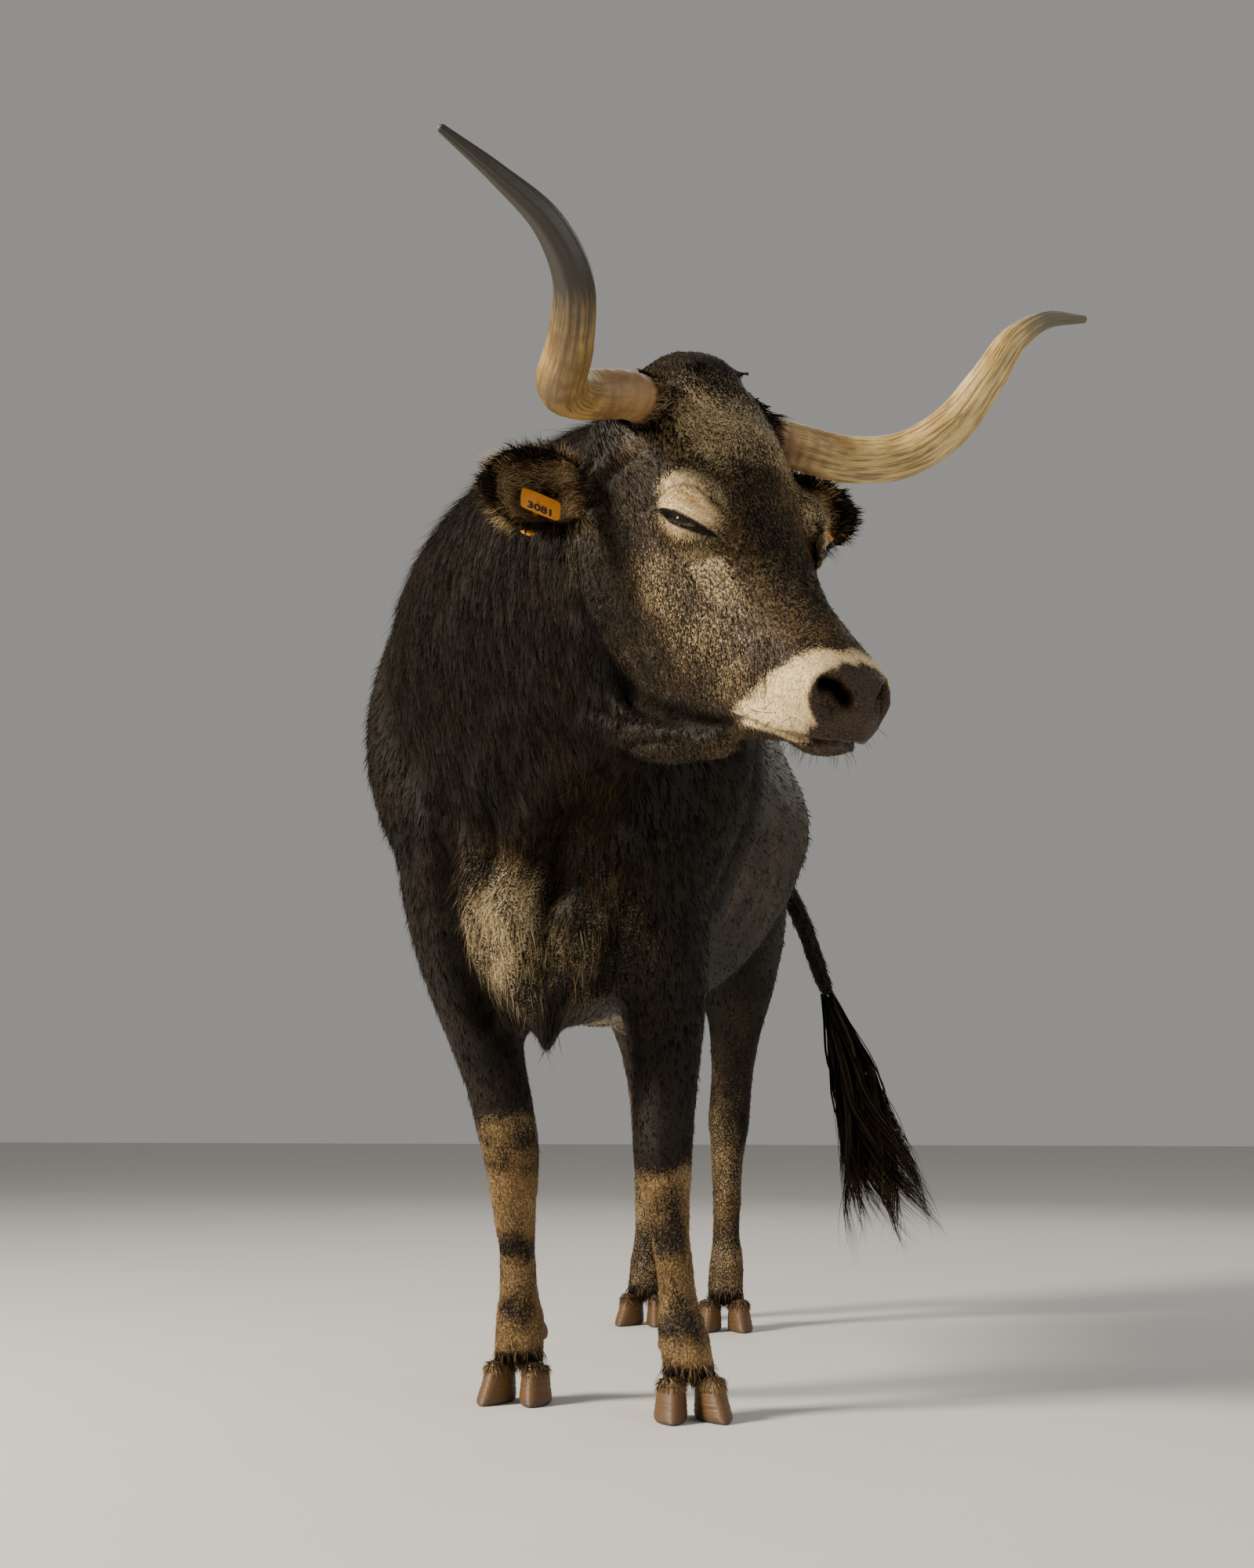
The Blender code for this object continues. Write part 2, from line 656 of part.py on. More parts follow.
def tube(name, line, radii, sides, count, spare=0.0, start=0.0, end=1.0):
    """Tapered tube along a curve between two shares of it; spare widens and lengthens it."""
    track = open_curve(line, 120)
    girth = open_curve(np.array(radii)[:, None], 120)[:, 0]
    places = np.linspace(start, end, count) * 119
    index = np.arange(120)
    centres = np.stack([np.interp(places, index, track[:, axis]) for axis in range(3)], axis=1)
    sizes = np.interp(places, index, girth) + spare * 1.3
    ways = np.gradient(centres, axis=0)
    ways /= np.linalg.norm(ways, axis=1)[:, None]
    centres[0] -= ways[0] * spare
    centres[-1] += ways[-1] * spare
    side = np.cross(ways[0], (0.1, 0.2, 1.0))
    rings = []
    for centre, way, size in zip(centres, ways, sizes):
        side = side - way * np.dot(side, way)
        side /= np.linalg.norm(side)
        other = np.cross(way, side)
        rings.append([centre + size * (side * math.cos(angle) + other * math.sin(angle))
                      for angle in np.linspace(0, 2 * math.pi, sides, endpoint=False)])
    return loft(name, rings)


def horn(name, side, spare=0.0):
    line = HORN_LEFT if side > 0 else HORN_RIGHT
    places = [head_point(place, side) for place in line]
    return tube(name, places, HORN_RADII, HORN_SIDES, HORN_RINGS, spare)


def lock(root, way, out, length, width, bend, wave, segments=5, sink=0.012):
    """Flat tapered lock: from below the surface it bends along its way and ends in a point."""
    way = np.asarray(way, dtype=float) / np.linalg.norm(way)
    out = np.asarray(out, dtype=float) - way * np.dot(out, way)
    out /= np.linalg.norm(out)
    side = np.cross(way, out)
    rings = []
    for share in np.linspace(0.0, 1.0, segments + 1):
        centre = np.asarray(root) + way * length * share + out * bend * math.sin(math.pi * share)
        centre = centre + side * wave * math.sin(2 * math.pi * share)
        if share == 0.0:
            centre = centre - out * sink - way * sink
        half = 0.5 * width * (1.0 - share) ** 0.55 * (0.8 + 0.4 * math.sin(math.pi * share))
        thick = max(0.0012, 0.55 * half)
        rings.append([centre + side * half, centre + out * thick, centre - side * half])
    return loft("lock", rings, pointed=True)


def ear_frame(side):
    """Root, length and directions of an ear: along it, across its width and out of its cup."""
    root = head_point(EAR_ROOT, side)
    tip = head_point(EAR_TIP_LEFT if side > 0 else EAR_TIP_RIGHT, side)
    along = tip - root
    length = np.linalg.norm(along)
    along /= length
    across = head_direction((0.0, 0.86, -0.51), side)
    across -= along * np.dot(across, along)
    across /= np.linalg.norm(across)
    out = head_direction((0.0, 0.51, 0.86), side)
    out -= along * np.dot(out, along) + across * np.dot(out, across)
    return root, length, along, across, out / np.linalg.norm(out)


# Ear sections from root to tip: place, then shares of half width, back depth and cup depth
EAR_SECTIONS = ((0.00, 0.34, 0.55, -0.40), (0.16, 0.42, 0.70, -0.30), (0.32, 0.74, 0.95, 0.30),
                (0.48, 0.98, 1.00, 0.98), (0.66, 1.00, 0.86, 0.86), (0.82, 0.78, 0.62, 0.55),
                (0.94, 0.44, 0.36, 0.20), (1.00, 0.16, 0.16, 0.02))


def ear_shell(name, side, spare=0.0):
    root, length, along, across, out = ear_frame(side)
    rings = []
    for place, wide, back, cup in open_curve(EAR_SECTIONS, 12):
        ends = {0.0: -spare, 1.0: spare}
        centre = root + along * (length * place + ends.get(place, 0.0))
        half = EAR_HALF_WIDTH * wide + spare * 1.4
        depth = EAR_DEPTH * back + spare * 1.4
        hollow = EAR_CUP * cup - spare * 1.4
        ring = []
        for share in np.linspace(-1, 1, 7):
            ring.append(centre + across * half * share - out * depth * math.sqrt(1 - share ** 2))
        for share in np.linspace(0.80, -0.80, 4):
            ring.append(centre + across * half * share - out * hollow * (1 - share ** 2))
        rings.append(ring)
    return loft(name, rings)


def ear(name, side, chance):
    """Cupped ear with shaggy locks round its rim and inside the cup."""
    root, length, along, across, out = ear_frame(side)
    node = ear_shell(name, side)
    locks = []
    for index in range(EAR_RIM_LOCKS):
        turn = math.radians(-130 + 260 * index / (EAR_RIM_LOCKS - 1))
        place = 0.52 + 0.34 * math.cos(turn)
        spread = EAR_HALF_WIDTH * 0.82 * math.sin(turn)
        start = root + along * length * place + across * spread - out * 0.010
        away = along * math.cos(turn) + across * math.sin(turn)
        round_rim = across * math.cos(turn) - along * math.sin(turn)
        way = away * 0.7 + round_rim * (0.8 if turn < 0 else -0.8) * (1 - 0.5 * math.cos(turn))
        size = 0.034 + 0.010 * chance.random()
        locks.append(lock(start, way, out, size, 0.038, 0.003, 0.002, 3, 0.006))
    for index in range(EAR_CUP_LOCKS):
        share = -0.6 + 1.2 * index / (EAR_CUP_LOCKS - 1)
        start = root + along * length * 0.44 + across * EAR_HALF_WIDTH * share * 0.9 - out * 0.030
        way = along * 0.8 + out * 0.50 + across * (0.25 - share * 0.4)
        locks.append(lock(start, way, out, 0.052, 0.018, 0.004, 0.003, 3, 0.006))
    fuse(node, locks)
    return node


def ear_tag(name, side, spare=0.0):
    """Plate on the cup's side, stud through the ear and button behind it, in one piece."""
    root, length, along, across, out = ear_frame(side)
    share, below = TAG_PLACE_LEFT if side > 0 else TAG_PLACE_RIGHT
    middle = root + along * length * share - out * 0.012 + across * below
    run = -along * 0.92 + across * 0.38
    run /= np.linalg.norm(run)
    fall = across * 0.92 + out * 0.38
    fall -= run * np.dot(fall, run)
    fall /= np.linalg.norm(fall)
    face = np.cross(run, fall)
    face *= np.sign(np.dot(face, out))
    long, high, thick = (size + 2 * spare for size in TAG_SIZE)
    rings = []
    for height in (-0.5 * thick, 0.5 * thick):
        ring = []
        for angle in np.linspace(0, 2 * math.pi, 12, endpoint=False):
            x = math.copysign(abs(math.cos(angle)) ** 0.3, math.cos(angle)) * long / 2
            y = math.copysign(abs(math.sin(angle)) ** 0.3, math.sin(angle)) * high / 2
            ring.append(middle + run * x + fall * y + face * height)
        rings.append(ring)
    node = loft(name, rings)
    stem = [middle + face * 0.004, middle - face * 0.020, middle - face * 0.0401]
    stud = tube("stud", stem, (TAG_STUD_RADIUS,) * 3, 8, 2, spare)
    button = [middle - face * 0.0400, middle - face * 0.0420, middle - face * 0.0440]
    disc = tube("disc", button, (0.013,) * 3, 10, 2, spare)
    fuse(node, [stud, disc])
    return node


def eye_slit(side):
    """Almond-shaped cutter that opens the lids."""
    centre = head_point(EYE, side)
    slant = math.radians(LID_SLANT)
    along = head_direction((0.0, math.cos(slant), -math.sin(slant)), side)
    out = head_direction((0.95, 0.20, 0.25), side)
    out -= along * np.dot(out, along)
    out /= np.linalg.norm(out)
    across = np.cross(along, out)
    half_length, half_height = LID_SLIT
    rings = []
    for depth in (0.0, EYE_RADIUS + 0.03):
        ring = []
        for angle in np.linspace(0, 2 * math.pi, 16, endpoint=False):
            run = half_length * math.cos(angle)
            rise = half_height * math.sin(angle) * abs(math.sin(angle)) ** 0.3
            ring.append(centre + along * run + across * rise + out * depth)
        rings.append(ring)
    return loft("slit", rings)


def nostril(side):
    """Comma-shaped pit: a round hollow with a slit rising at its outer side."""
    pit = ellipsoid("pit", head_point(NOSTRIL, side), NOSTRIL_RADII,
                    HEAD_AXES @ np.diag([side, 1, 1]), 10, 6)
    start = np.array(NOSTRIL) + (0.004, 0.000, 0.008)
    line = [head_point(start + step, side) for step in
            ((0.0, 0.008, 0.0), (0.006, 0.000, 0.012), (0.016, -0.010, 0.014), (0.030, -0.018, 0.008))]
    slit = tube("slit", line, (0.007, 0.007, 0.006, 0.004), 6, 6)
    return [pit, slit]


def mouth_curve():
    """Line of the mouth from corner to corner round the front of the lips."""
    left = [head_point(place) for place in MOUTH_LINE]
    right = [head_point(place, -1) for place in MOUTH_LINE[-2::-1]]
    return left + right


def lips():
    """Rolled edge of the upper and the lower lip."""
    line = mouth_curve()
    rise = head_direction((0, 0.45, 0.89)) * LIP_SPACING
    radii = [LIP_RADIUS * share for share in (0.5, 0.8, 1.0, 1.0, 1.0, 1.0, 1.0, 0.8, 0.5)]
    inward = head_direction((0, -0.006, 0))
    upper = tube("upper_lip", [place + rise + inward for place in line], radii, 6, 15)
    lower = tube("lower_lip", [place - rise + inward * 2 for place in line], radii, 6, 15)
    return [upper, lower]


def mouth_groove():
    line = mouth_curve()
    out = head_direction((0, 0.004, 0))
    radii = [0.0030 * share for share in (0.9, 1, 1, 1, 1, 1, 1, 1, 0.9)]
    return tube("groove", [place + out for place in line], radii, 5, 15)


def poll_locks(head, chance):
    """Wavy tufts on the poll, lying down the forehead and out to the horns."""
    shape = bmesh.new()
    shape.from_mesh(head.data)
    tree = BVHTree.FromBMesh(shape)
    shape.free()
    locks = []
    inward = Vector(head_direction((0, 0, -1)))
    for down, count, reach in POLL_ROWS:
        for index in range(count):
            aside = reach * (2 * index / (count - 1) - 1) + 0.006 * (chance.random() - 0.5)
            top = Vector(head_point((aside, down, 0.12)))
            place, normal, face, distance = tree.ray_cast(top, inward)
            out = np.array(normal)
            way = head_direction((aside * 3.0, 1.0, 0.0))
            way -= out * np.dot(way, out)
            way = way / np.linalg.norm(way) + out * 0.04
            length = POLL_LOCK_LENGTH * (0.9 + 0.25 * chance.random())
            wave = 0.006 * (1 if index % 2 else -1)
            locks.append(lock(place, way, out, length, 0.032, 0.007, wave, 3, 0.010))
    return locks


def head_node(flesh):
    """Head with brows, lids, nostrils, lips and the line of the mouth."""
    node = part_of(flesh, "head", [HEAD_TO_NECK])
    chance = random.Random(SEED)
    lid_radius = EYE_RADIUS + LID_THICKNESS
    additions = lips()
    for side in (1, -1):
        additions.append(ellipsoid("lids", head_point(EYE, side), (lid_radius,) * 3, HEAD_AXES, 14, 9))
    fuse(node, additions)
    thin_to(node, FACE_TRIANGLES)
    fuse(node, poll_locks(node, chance))
    cutters = [mouth_groove()]
    for side in (1, -1):
        cutters.append(eye_slit(side))
        cutters += nostril(side)
        cutters.append(ellipsoid("socket", head_point(EYE, side), (EYE_RADIUS + GAP * 1.6,) * 3,
                                 HEAD_AXES, EYE_SEGMENTS, EYE_RINGS))
        cutters.append(horn("horn_socket", side, GAP))
        cutters.append(ear_shell("ear_socket", side, GAP))
    carve(node, cutters)
    return node


def tail_tube(name, spare=0.0):
    return tube(name, TAIL_LINE, TAIL_RADII, 10, 18, spare, 0.0, SWITCH_START)


def tail_locks(chance):
    """Wavy locks of the switch, hanging from its core."""
    track = open_curve(TAIL_LINE, 120)
    locks = []
    for index in range(SWITCH_LOCKS):
        share = (index + 0.5) / SWITCH_LOCKS
        place = track[int((SWITCH_START + 0.03 + (0.97 - SWITCH_START) * share) * 119)]
        turn = index * GOLDEN_TURN
        radial = np.array([math.cos(turn), 0.8 * math.sin(turn), 0.0])
        spread = 0.10 + 0.20 * share + 0.05 * chance.random()
        way = radial * spread + np.array([0.29, -0.04, -1.0])
        floor_gap = place[2] - SWITCH_END - 0.08 * chance.random()
        length = floor_gap * (0.84 + 0.20 * share)
        start = place + radial * 0.006
        width = 0.050 + 0.010 * chance.random()
        wave = 0.012 * (1 if index % 2 else -1)
        locks.append(lock(start, way, radial, length, width, 0.018, wave, 4, 0.012))
    return locks


def paint(thing, finish, smooth=True):
    thing.data.materials.clear()
    thing.data.materials.append(finish)
    if smooth:
        thing.data.shade_smooth()
        thing.data.set_sharp_from_angle(angle=math.radians(50))


def trunk_nodes(flesh, finishes):
    """Neck, chest, barrel and rump."""
    chest_legs = [leg_plane(CHEST_TO_FORELEG, side) for side in (1, -1)]
    rump_legs = [leg_plane(RUMP_TO_HIND_LEG, side) for side in (1, -1)]
    neck_planes = [opposite(HEAD_TO_NECK), NECK_TO_CHEST]
    chest_planes = [opposite(NECK_TO_CHEST), CHEST_TO_BARREL] + chest_legs
    paint(part_of(flesh, "neck", neck_planes), finishes["dark"])
    paint(part_of(flesh, "chest", chest_planes), finishes["dark"])
    paint(part_of(flesh, "barrel", [opposite(CHEST_TO_BARREL), BARREL_TO_RUMP]), finishes["grey"])
    rump = part_of(flesh, "rump", [opposite(BARREL_TO_RUMP)] + rump_legs)
    carve(rump, [tail_tube("tail_socket", GAP)])
    paint(rump, finishes["grey"])


def leg_nodes(flesh, finishes, name, stations, side, splay, hind):
    """Upper leg, lower leg, two claws and two dewclaws of one leg."""
    joint_height = HOCK_CUT if hind else KNEE_CUT
    root_height = RUMP_TO_HIND_LEG if hind else CHEST_TO_FORELEG
    end = opposite(BARREL_TO_RUMP) if hind else CHEST_TO_BARREL
    middle, ahead, upright = foot_frame(stations, splay)
    place = name + ("_left" if side > 0 else "_right")
    root = opposite(leg_plane(root_height, side))
    upper = part_of(flesh, place + "_upper", [root, midline(side), end, level(joint_height, -1)])
    coronet = (tuple(middle), tuple(-upright))
    lower = part_of(flesh, place + "_lower",
                    [midline(side), end, level(joint_height, 1), coronet])
    sockets = [dewclaw("socket", stations, splay, share, GAP) for share in (1, -1)]
    carve(lower, sockets)
    paint(upper, finishes["dark"])
    paint(lower, finishes["tan"])
    for share, word in ((side, "outer"), (-side, "inner")):
        paint(claw(f"{place}_claw_{word}", stations, splay, share), finishes["claw"])
        paint(dewclaw(f"{place}_dewclaw_{word}", stations, splay, share), finishes["claw"])


def tail_nodes(finishes):
    """Slim tail and the switch of long hair at its end."""
    gap_share = GAP / 1.05
    dock = tail_tube("tail")
    switch = tube("tail_switch", TAIL_LINE, TAIL_RADII, 6, 6, 0.0, SWITCH_START + gap_share)
    fuse(switch, tail_locks(random.Random(SEED + 1)))
    carve(switch, [tail_tube("dock_cut", GAP)])
    paint(dock, finishes["dark"])
    paint(switch, finishes["hair"])


def head_pieces(finishes):
    """Horns, eyes, ears and ear tags."""
    for side, word in ((1, "left"), (-1, "right")):
        paint(horn(f"horn_{word}", side), finishes["horn"])
        eye = ellipsoid(f"eye_{word}", head_point(EYE, side), (EYE_RADIUS,) * 3, HEAD_AXES,
                        EYE_SEGMENTS, EYE_RINGS)
        paint(eye, finishes["eye"])
        leaf = ear(f"ear_{word}", side, random.Random(SEED + 2 + side))
        carve(leaf, [ear_tag("hole", side, GAP)])
        paint(leaf, finishes["dark"])
        paint(ear_tag(f"ear_tag_{word}", side), finishes["tag"])


def stand_on_origin():
    """Move the whole animal so that the middle of its floor plan is over the origin."""
    things = [thing for thing in bpy.data.objects if thing.type == "MESH"]
    places = np.array([vertex.co[:] for thing in things for vertex in thing.data.vertices])
    middle = (places.min(axis=0) + places.max(axis=0)) / 2
    shift = Matrix.Translation((-middle[0], -middle[1], 0.0))
    for thing in things:
        thing.data.transform(shift)


def build():
    clear_scene()
    finishes = {
        "dark": material("dark_hide", HIDE_DARK, 0.75),
        "grey": material("grey_hide", HIDE_GREY, 0.80),
        "tan": material("tan_hide", HIDE_TAN, 0.80),
        "hair": material("black_hair", HIDE_DARK, 0.60),
        "horn": material("horn", HORN_CREAM, 0.45),
        "claw": material("claw", CLAW_TAN, 0.60),
        "eye": material("eye", EYE_BROWN, 0.10),
        "tag": material("tag", TAG_ORANGE, 0.40),
    }
    flesh = whole_flesh()
    fine = thinned(flesh, "fine", FINE_TRIANGLES)
    coarse = thinned(flesh, "coarse", COARSE_TRIANGLES)
    remove(flesh)
    paint(head_node(fine), finishes["grey"])
    remove(fine)
    trunk_nodes(coarse, finishes)
    leg_nodes(coarse, finishes, "foreleg", FORELEG_LEFT, 1, 16, False)
    leg_nodes(coarse, finishes, "foreleg", FORELEG_RIGHT, -1, -4, False)
    leg_nodes(coarse, finishes, "hind_leg", HIND_LEG, 1, 6, True)
    leg_nodes(coarse, finishes, "hind_leg", HIND_RIGHT, -1, -6, True)
    remove(coarse)
    tail_nodes(finishes)
    head_pieces(finishes)
    stand_on_origin()


build()
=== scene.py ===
import math
import bpy
import bmesh
import numpy as np
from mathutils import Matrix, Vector
from mathutils.kdtree import KDTree


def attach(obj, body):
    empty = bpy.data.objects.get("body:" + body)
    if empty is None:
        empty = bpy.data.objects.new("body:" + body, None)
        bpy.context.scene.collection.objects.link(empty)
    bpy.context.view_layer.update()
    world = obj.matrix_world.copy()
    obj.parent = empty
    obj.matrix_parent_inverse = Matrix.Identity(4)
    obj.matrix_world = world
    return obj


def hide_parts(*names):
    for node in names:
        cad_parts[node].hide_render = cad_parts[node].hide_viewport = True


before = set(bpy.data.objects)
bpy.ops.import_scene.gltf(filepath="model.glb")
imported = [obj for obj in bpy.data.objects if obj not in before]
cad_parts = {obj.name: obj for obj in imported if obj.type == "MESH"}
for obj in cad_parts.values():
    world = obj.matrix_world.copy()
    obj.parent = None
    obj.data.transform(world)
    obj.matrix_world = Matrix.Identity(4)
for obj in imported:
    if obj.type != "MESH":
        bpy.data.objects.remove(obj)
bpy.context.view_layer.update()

# The hide of the whole animal in one closed surface, with both ears. Copies of the flesh
# solids are swollen until they meet, remeshed as one, smoothed, drawn in by the depth of
# the coat, and then given their lips, nostrils, folds and wrinkles.

POLL = np.array((0.0855, -0.8405, 1.388))     # crown of the head, between the horns
HEAD_TURN, HEAD_NOD, HEAD_TILT = np.radians((46.7, 48.9, -1.5))
SIDES = ("left", "right")
SIGN = {"left": 1, "right": -1}
FLESH = ["head", "neck", "chest", "barrel", "rump", "tail"]
FLESH += [f"{limb}_{side}_{part}" for limb in ("foreleg", "hind_leg") for side in SIDES
          for part in ("upper", "lower")]
SWELL = 0.0011

EAR_ROOT = (0.092, 0.060, -0.150)
EAR_TIP = {"left": (0.285, 0.085, -0.105), "right": (0.278, 0.046, -0.189)}
EAR_HALF_WIDTH = 0.060
EAR_BACK = 0.043
EAR_HOLLOW = 0.035
# Along an ear: place, then shares of its half width, of its back's depth and of its hollow's
EAR_SHAPE = ((-0.10, 0.34, 0.50, -0.40), (0.16, 0.42, 0.70, -0.30), (0.32, 0.74, 0.95, 0.30),
             (0.48, 0.98, 1.00, 0.98), (0.66, 1.00, 0.86, 0.84), (0.82, 0.78, 0.64, 0.50),
             (0.94, 0.44, 0.38, 0.14), (1.00, 0.16, 0.16, -0.02))


def head_axes():
    """Directions to the animal's left, down its face and out of its forehead, as columns."""
    left = np.array([math.cos(HEAD_TURN), math.sin(HEAD_TURN), 0.0])
    ahead = np.array([math.sin(HEAD_TURN), -math.cos(HEAD_TURN), 0.0])
    rise = np.array([0.0, 0.0, 1.0])
    face = ahead * math.cos(HEAD_NOD) - rise * math.sin(HEAD_NOD)
    brow = rise * math.cos(HEAD_NOD) + ahead * math.sin(HEAD_NOD)
    side = left * math.cos(HEAD_TILT) - brow * math.sin(HEAD_TILT)
    out = brow * math.cos(HEAD_TILT) + left * math.sin(HEAD_TILT)
    return np.stack([side, face, out], axis=1)


HEAD = head_axes()


def aimed(way):
    """The way of one arrow, with length 1."""
    return way / np.linalg.norm(way)


def on_head(place, side="left"):
    """World place of a point of the head; the right side's points mirror the left's."""
    return POLL + head_way(place, side)


def head_way(way, side="left"):
    """World direction of a direction in the head's own axes, mirrored on the right side."""
    return HEAD @ (np.array(way, dtype=float) * (SIGN[side], 1, 1))


def in_head(places):
    """Places in the head's own axes: to its left, down its face, out of its forehead."""
    return (places - POLL) @ HEAD


def through(points, count):
    """Smooth curve through the points, as count places."""
    points = np.array(points, dtype=float)
    padded = np.vstack([2 * points[0] - points[1], points, 2 * points[-1] - points[-2]])
    spans = len(points) - 1
    places = []
    for share in np.linspace(0, spans, count):
        span = min(int(share), spans - 1)
        t = share - span
        a, b, c, d = padded[span:span + 4]
        places.append(0.5 * (2 * b + (c - a) * t + (2 * a - 5 * b + 4 * c - d) * t * t
                             + (3 * b - a - 3 * c + d) * t ** 3))
    return np.array(places)


def deselect():
    """Leaves nothing selected, in object mode."""
    if bpy.context.object and bpy.context.object.mode != "OBJECT":
        bpy.ops.object.mode_set(mode="OBJECT")
    bpy.ops.object.select_all(action="DESELECT")


def pick(*things):
    """Selects just these objects, with the first of them active."""
    deselect()
    for thing in things:
        thing.select_set(True)
    bpy.context.view_layer.objects.active = things[0]


def finish_with(thing, kind, **settings):
    """Adds one modifier to the piece and applies it."""
    pick(thing)
    step = thing.modifiers.new(kind.lower(), kind)
    for name, value in settings.items():
        setattr(step, name, value)
    bpy.ops.object.modifier_apply(modifier=step.name)


def new_piece(name, mesh):
    """Puts a mesh into the scene under a name."""
    piece = bpy.data.objects.new(name, mesh)
    bpy.context.collection.objects.link(piece)
    return piece


def mesh_piece(name, places, faces):
    """New piece from arrays: places as rows of x, y, z, faces as rows of corner numbers."""
    mesh = bpy.data.meshes.new(name)
    mesh.from_pydata([tuple(place) for place in places], [], [tuple(face) for face in faces])
    return new_piece(name, mesh)


def turn_out(piece):
    """Merges doubled corners and makes the faces point outwards."""
    pick(piece)
    bpy.ops.object.mode_set(mode="EDIT")
    bpy.ops.mesh.select_all(action="SELECT")
    bpy.ops.mesh.remove_doubles(threshold=0.00005)
    bpy.ops.mesh.normals_make_consistent(inside=False)
    bpy.ops.object.mode_set(mode="OBJECT")


def solid_copy(node, name):
    """Copy of one of the frame's solids, with its faces turned outwards."""
    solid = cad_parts[node]
    twin = new_piece(name, solid.data.copy())
    twin.matrix_world = solid.matrix_world.copy()
    turn_out(twin)
    return twin


def rings_piece(name, rings):
    """Closed piece through rings of equally many corners, with a fan over each end."""
    rings = np.array(rings)
    count, sides = rings.shape[:2]
    places = np.vstack([rings.reshape(-1, 3), rings[0].mean(axis=0), rings[-1].mean(axis=0)])
    faces = []
    for ring in range(count - 1):
        for side in range(sides):
            a, b = ring * sides + side, ring * sides + (side + 1) % sides
            faces.append((a, b, b + sides, a + sides))
    for side in range(sides):
        after = (side + 1) % sides
        faces.append((after, side, count * sides))
        faces.append(((count - 1) * sides + side, (count - 1) * sides + after, count * sides + 1))
    piece = mesh_piece(name, places, faces)
    turn_out(piece)
    return piece


def ear_axes(side):
    """Root, length and directions of an ear: along it, across it and out of its hollow."""
    root, tip = on_head(EAR_ROOT, side), on_head(EAR_TIP[side], side)
    along = tip - root
    length = np.linalg.norm(along)
    along /= length
    across = head_way((0.0, 0.86, -0.51), side)
    across = aimed(across - along * (across @ along))
    out = head_way((0.0, 0.51, 0.86), side)
    out = aimed(out - (along * (out @ along) + across * (out @ across)))
    return root, length, along, across, out


def ear_leaf(side):
    """Closed cupped leaf of an ear: rings along it of a round back and a hollow front."""
    root, length, along, across, out = ear_axes(side)
    rings = []
    for place, wide, back, hollow in through(EAR_SHAPE, 26):
        centre = root + along * length * place
        ring = []
        for share in np.sin(np.linspace(-0.5, 0.5, 17) * math.pi):
            depth = EAR_BACK * back * math.sqrt(max(0.0, 1 - share ** 2))
            ring.append(centre + across * EAR_HALF_WIDTH * wide * share - out * depth)
        for share in np.linspace(0.86, -0.86, 13):
            depth = EAR_HOLLOW * hollow * (1 - share ** 2)
            ring.append(centre + across * EAR_HALF_WIDTH * wide * share - out * depth)
        rings.append(ring)
    return rings_piece(f"leaf_{side}", rings)


def read_mesh(piece):
    """Corner places and faces of a piece whose faces are all triangles."""
    mesh = piece.data
    places = np.empty(len(mesh.vertices) * 3)
    mesh.vertices.foreach_get("co", places)
    corners = np.empty(len(mesh.loops), dtype=np.int64)
    mesh.loops.foreach_get("vertex_index", corners)
    return places.reshape(-1, 3), corners.reshape(-1, 3)


def face_normals(places, faces):
    """Normal of each triangle, twice as long as its area is large."""
    first, second, third = (places[faces[:, corner]] for corner in range(3))
    return np.cross(second - first, third - first)


def corner_normals(places, faces):
    """Unit normal at each corner of a mesh of triangles."""
    flat = face_normals(places, faces)
    total = np.zeros_like(places)
    for corner in range(3):
        for axis in range(3):
            total[:, axis] += np.bincount(faces[:, corner], flat[:, axis], len(places))
    return total / (np.linalg.norm(total, axis=1)[:, None] + 1e-12)


def smoothed(places, faces, rounds, pushes=(0.60, -0.615)):
    """Evens a surface, by default without shrinking it; each corner has its own rounds."""
    edges = np.vstack([faces[:, [0, 1]], faces[:, [1, 2]], faces[:, [2, 0]]])
    for turn in range(int(rounds.max())):
        if turn % 6 == 0:
            live = edges[rounds[edges[:, 0]] > turn]
            count = np.maximum(1.0, np.bincount(live[:, 0], minlength=len(places)))
        for push in pushes:
            around = np.stack([np.bincount(live[:, 0], places[live[:, 1], axis], len(places))
                               for axis in range(3)], axis=1) / count[:, None]
            share = np.clip(rounds - turn, 0, 1)[:, None]
            places = places + (around - places) * push * share
    return places


def ramp(values, low, high):
    """0 below low, 1 above high, smooth between."""
    share = np.clip((values - low) / (high - low), 0, 1)
    return share * share * (3 - 2 * share)


def near(places, centre, radii):
    """1 at the centre, falling smoothly to 0 at the radii."""
    reach = np.linalg.norm((places - np.array(centre)) / np.array(radii), axis=1)
    return 1 - ramp(reach, 0.35, 1.0)


def swollen_flesh(names, sides):
    """Copies of the flesh solids, swollen until they meet, and the ears, joined as one."""
    copies = []
    for name in names:
        twin = solid_copy(name, "flesh")
        places, faces = read_mesh(twin)
        places += corner_normals(places, faces) * SWELL
        twin.data.vertices.foreach_set("co", places.ravel())
        copies.append(twin)
    copies += [ear_leaf(side) for side in sides]
    pick(*copies)
    bpy.ops.object.join()
    return copies[0]


def keep_side(piece, spot, way):
    """Cuts the piece with a plane and keeps the side that the way points to."""
    shape = bmesh.new()
    shape.from_mesh(piece.data)
    bmesh.ops.bisect_plane(shape, geom=shape.verts[:] + shape.edges[:] + shape.faces[:],
                           plane_co=Vector(spot), plane_no=Vector(way), clear_inner=True)
    shape.to_mesh(piece.data)
    shape.free()


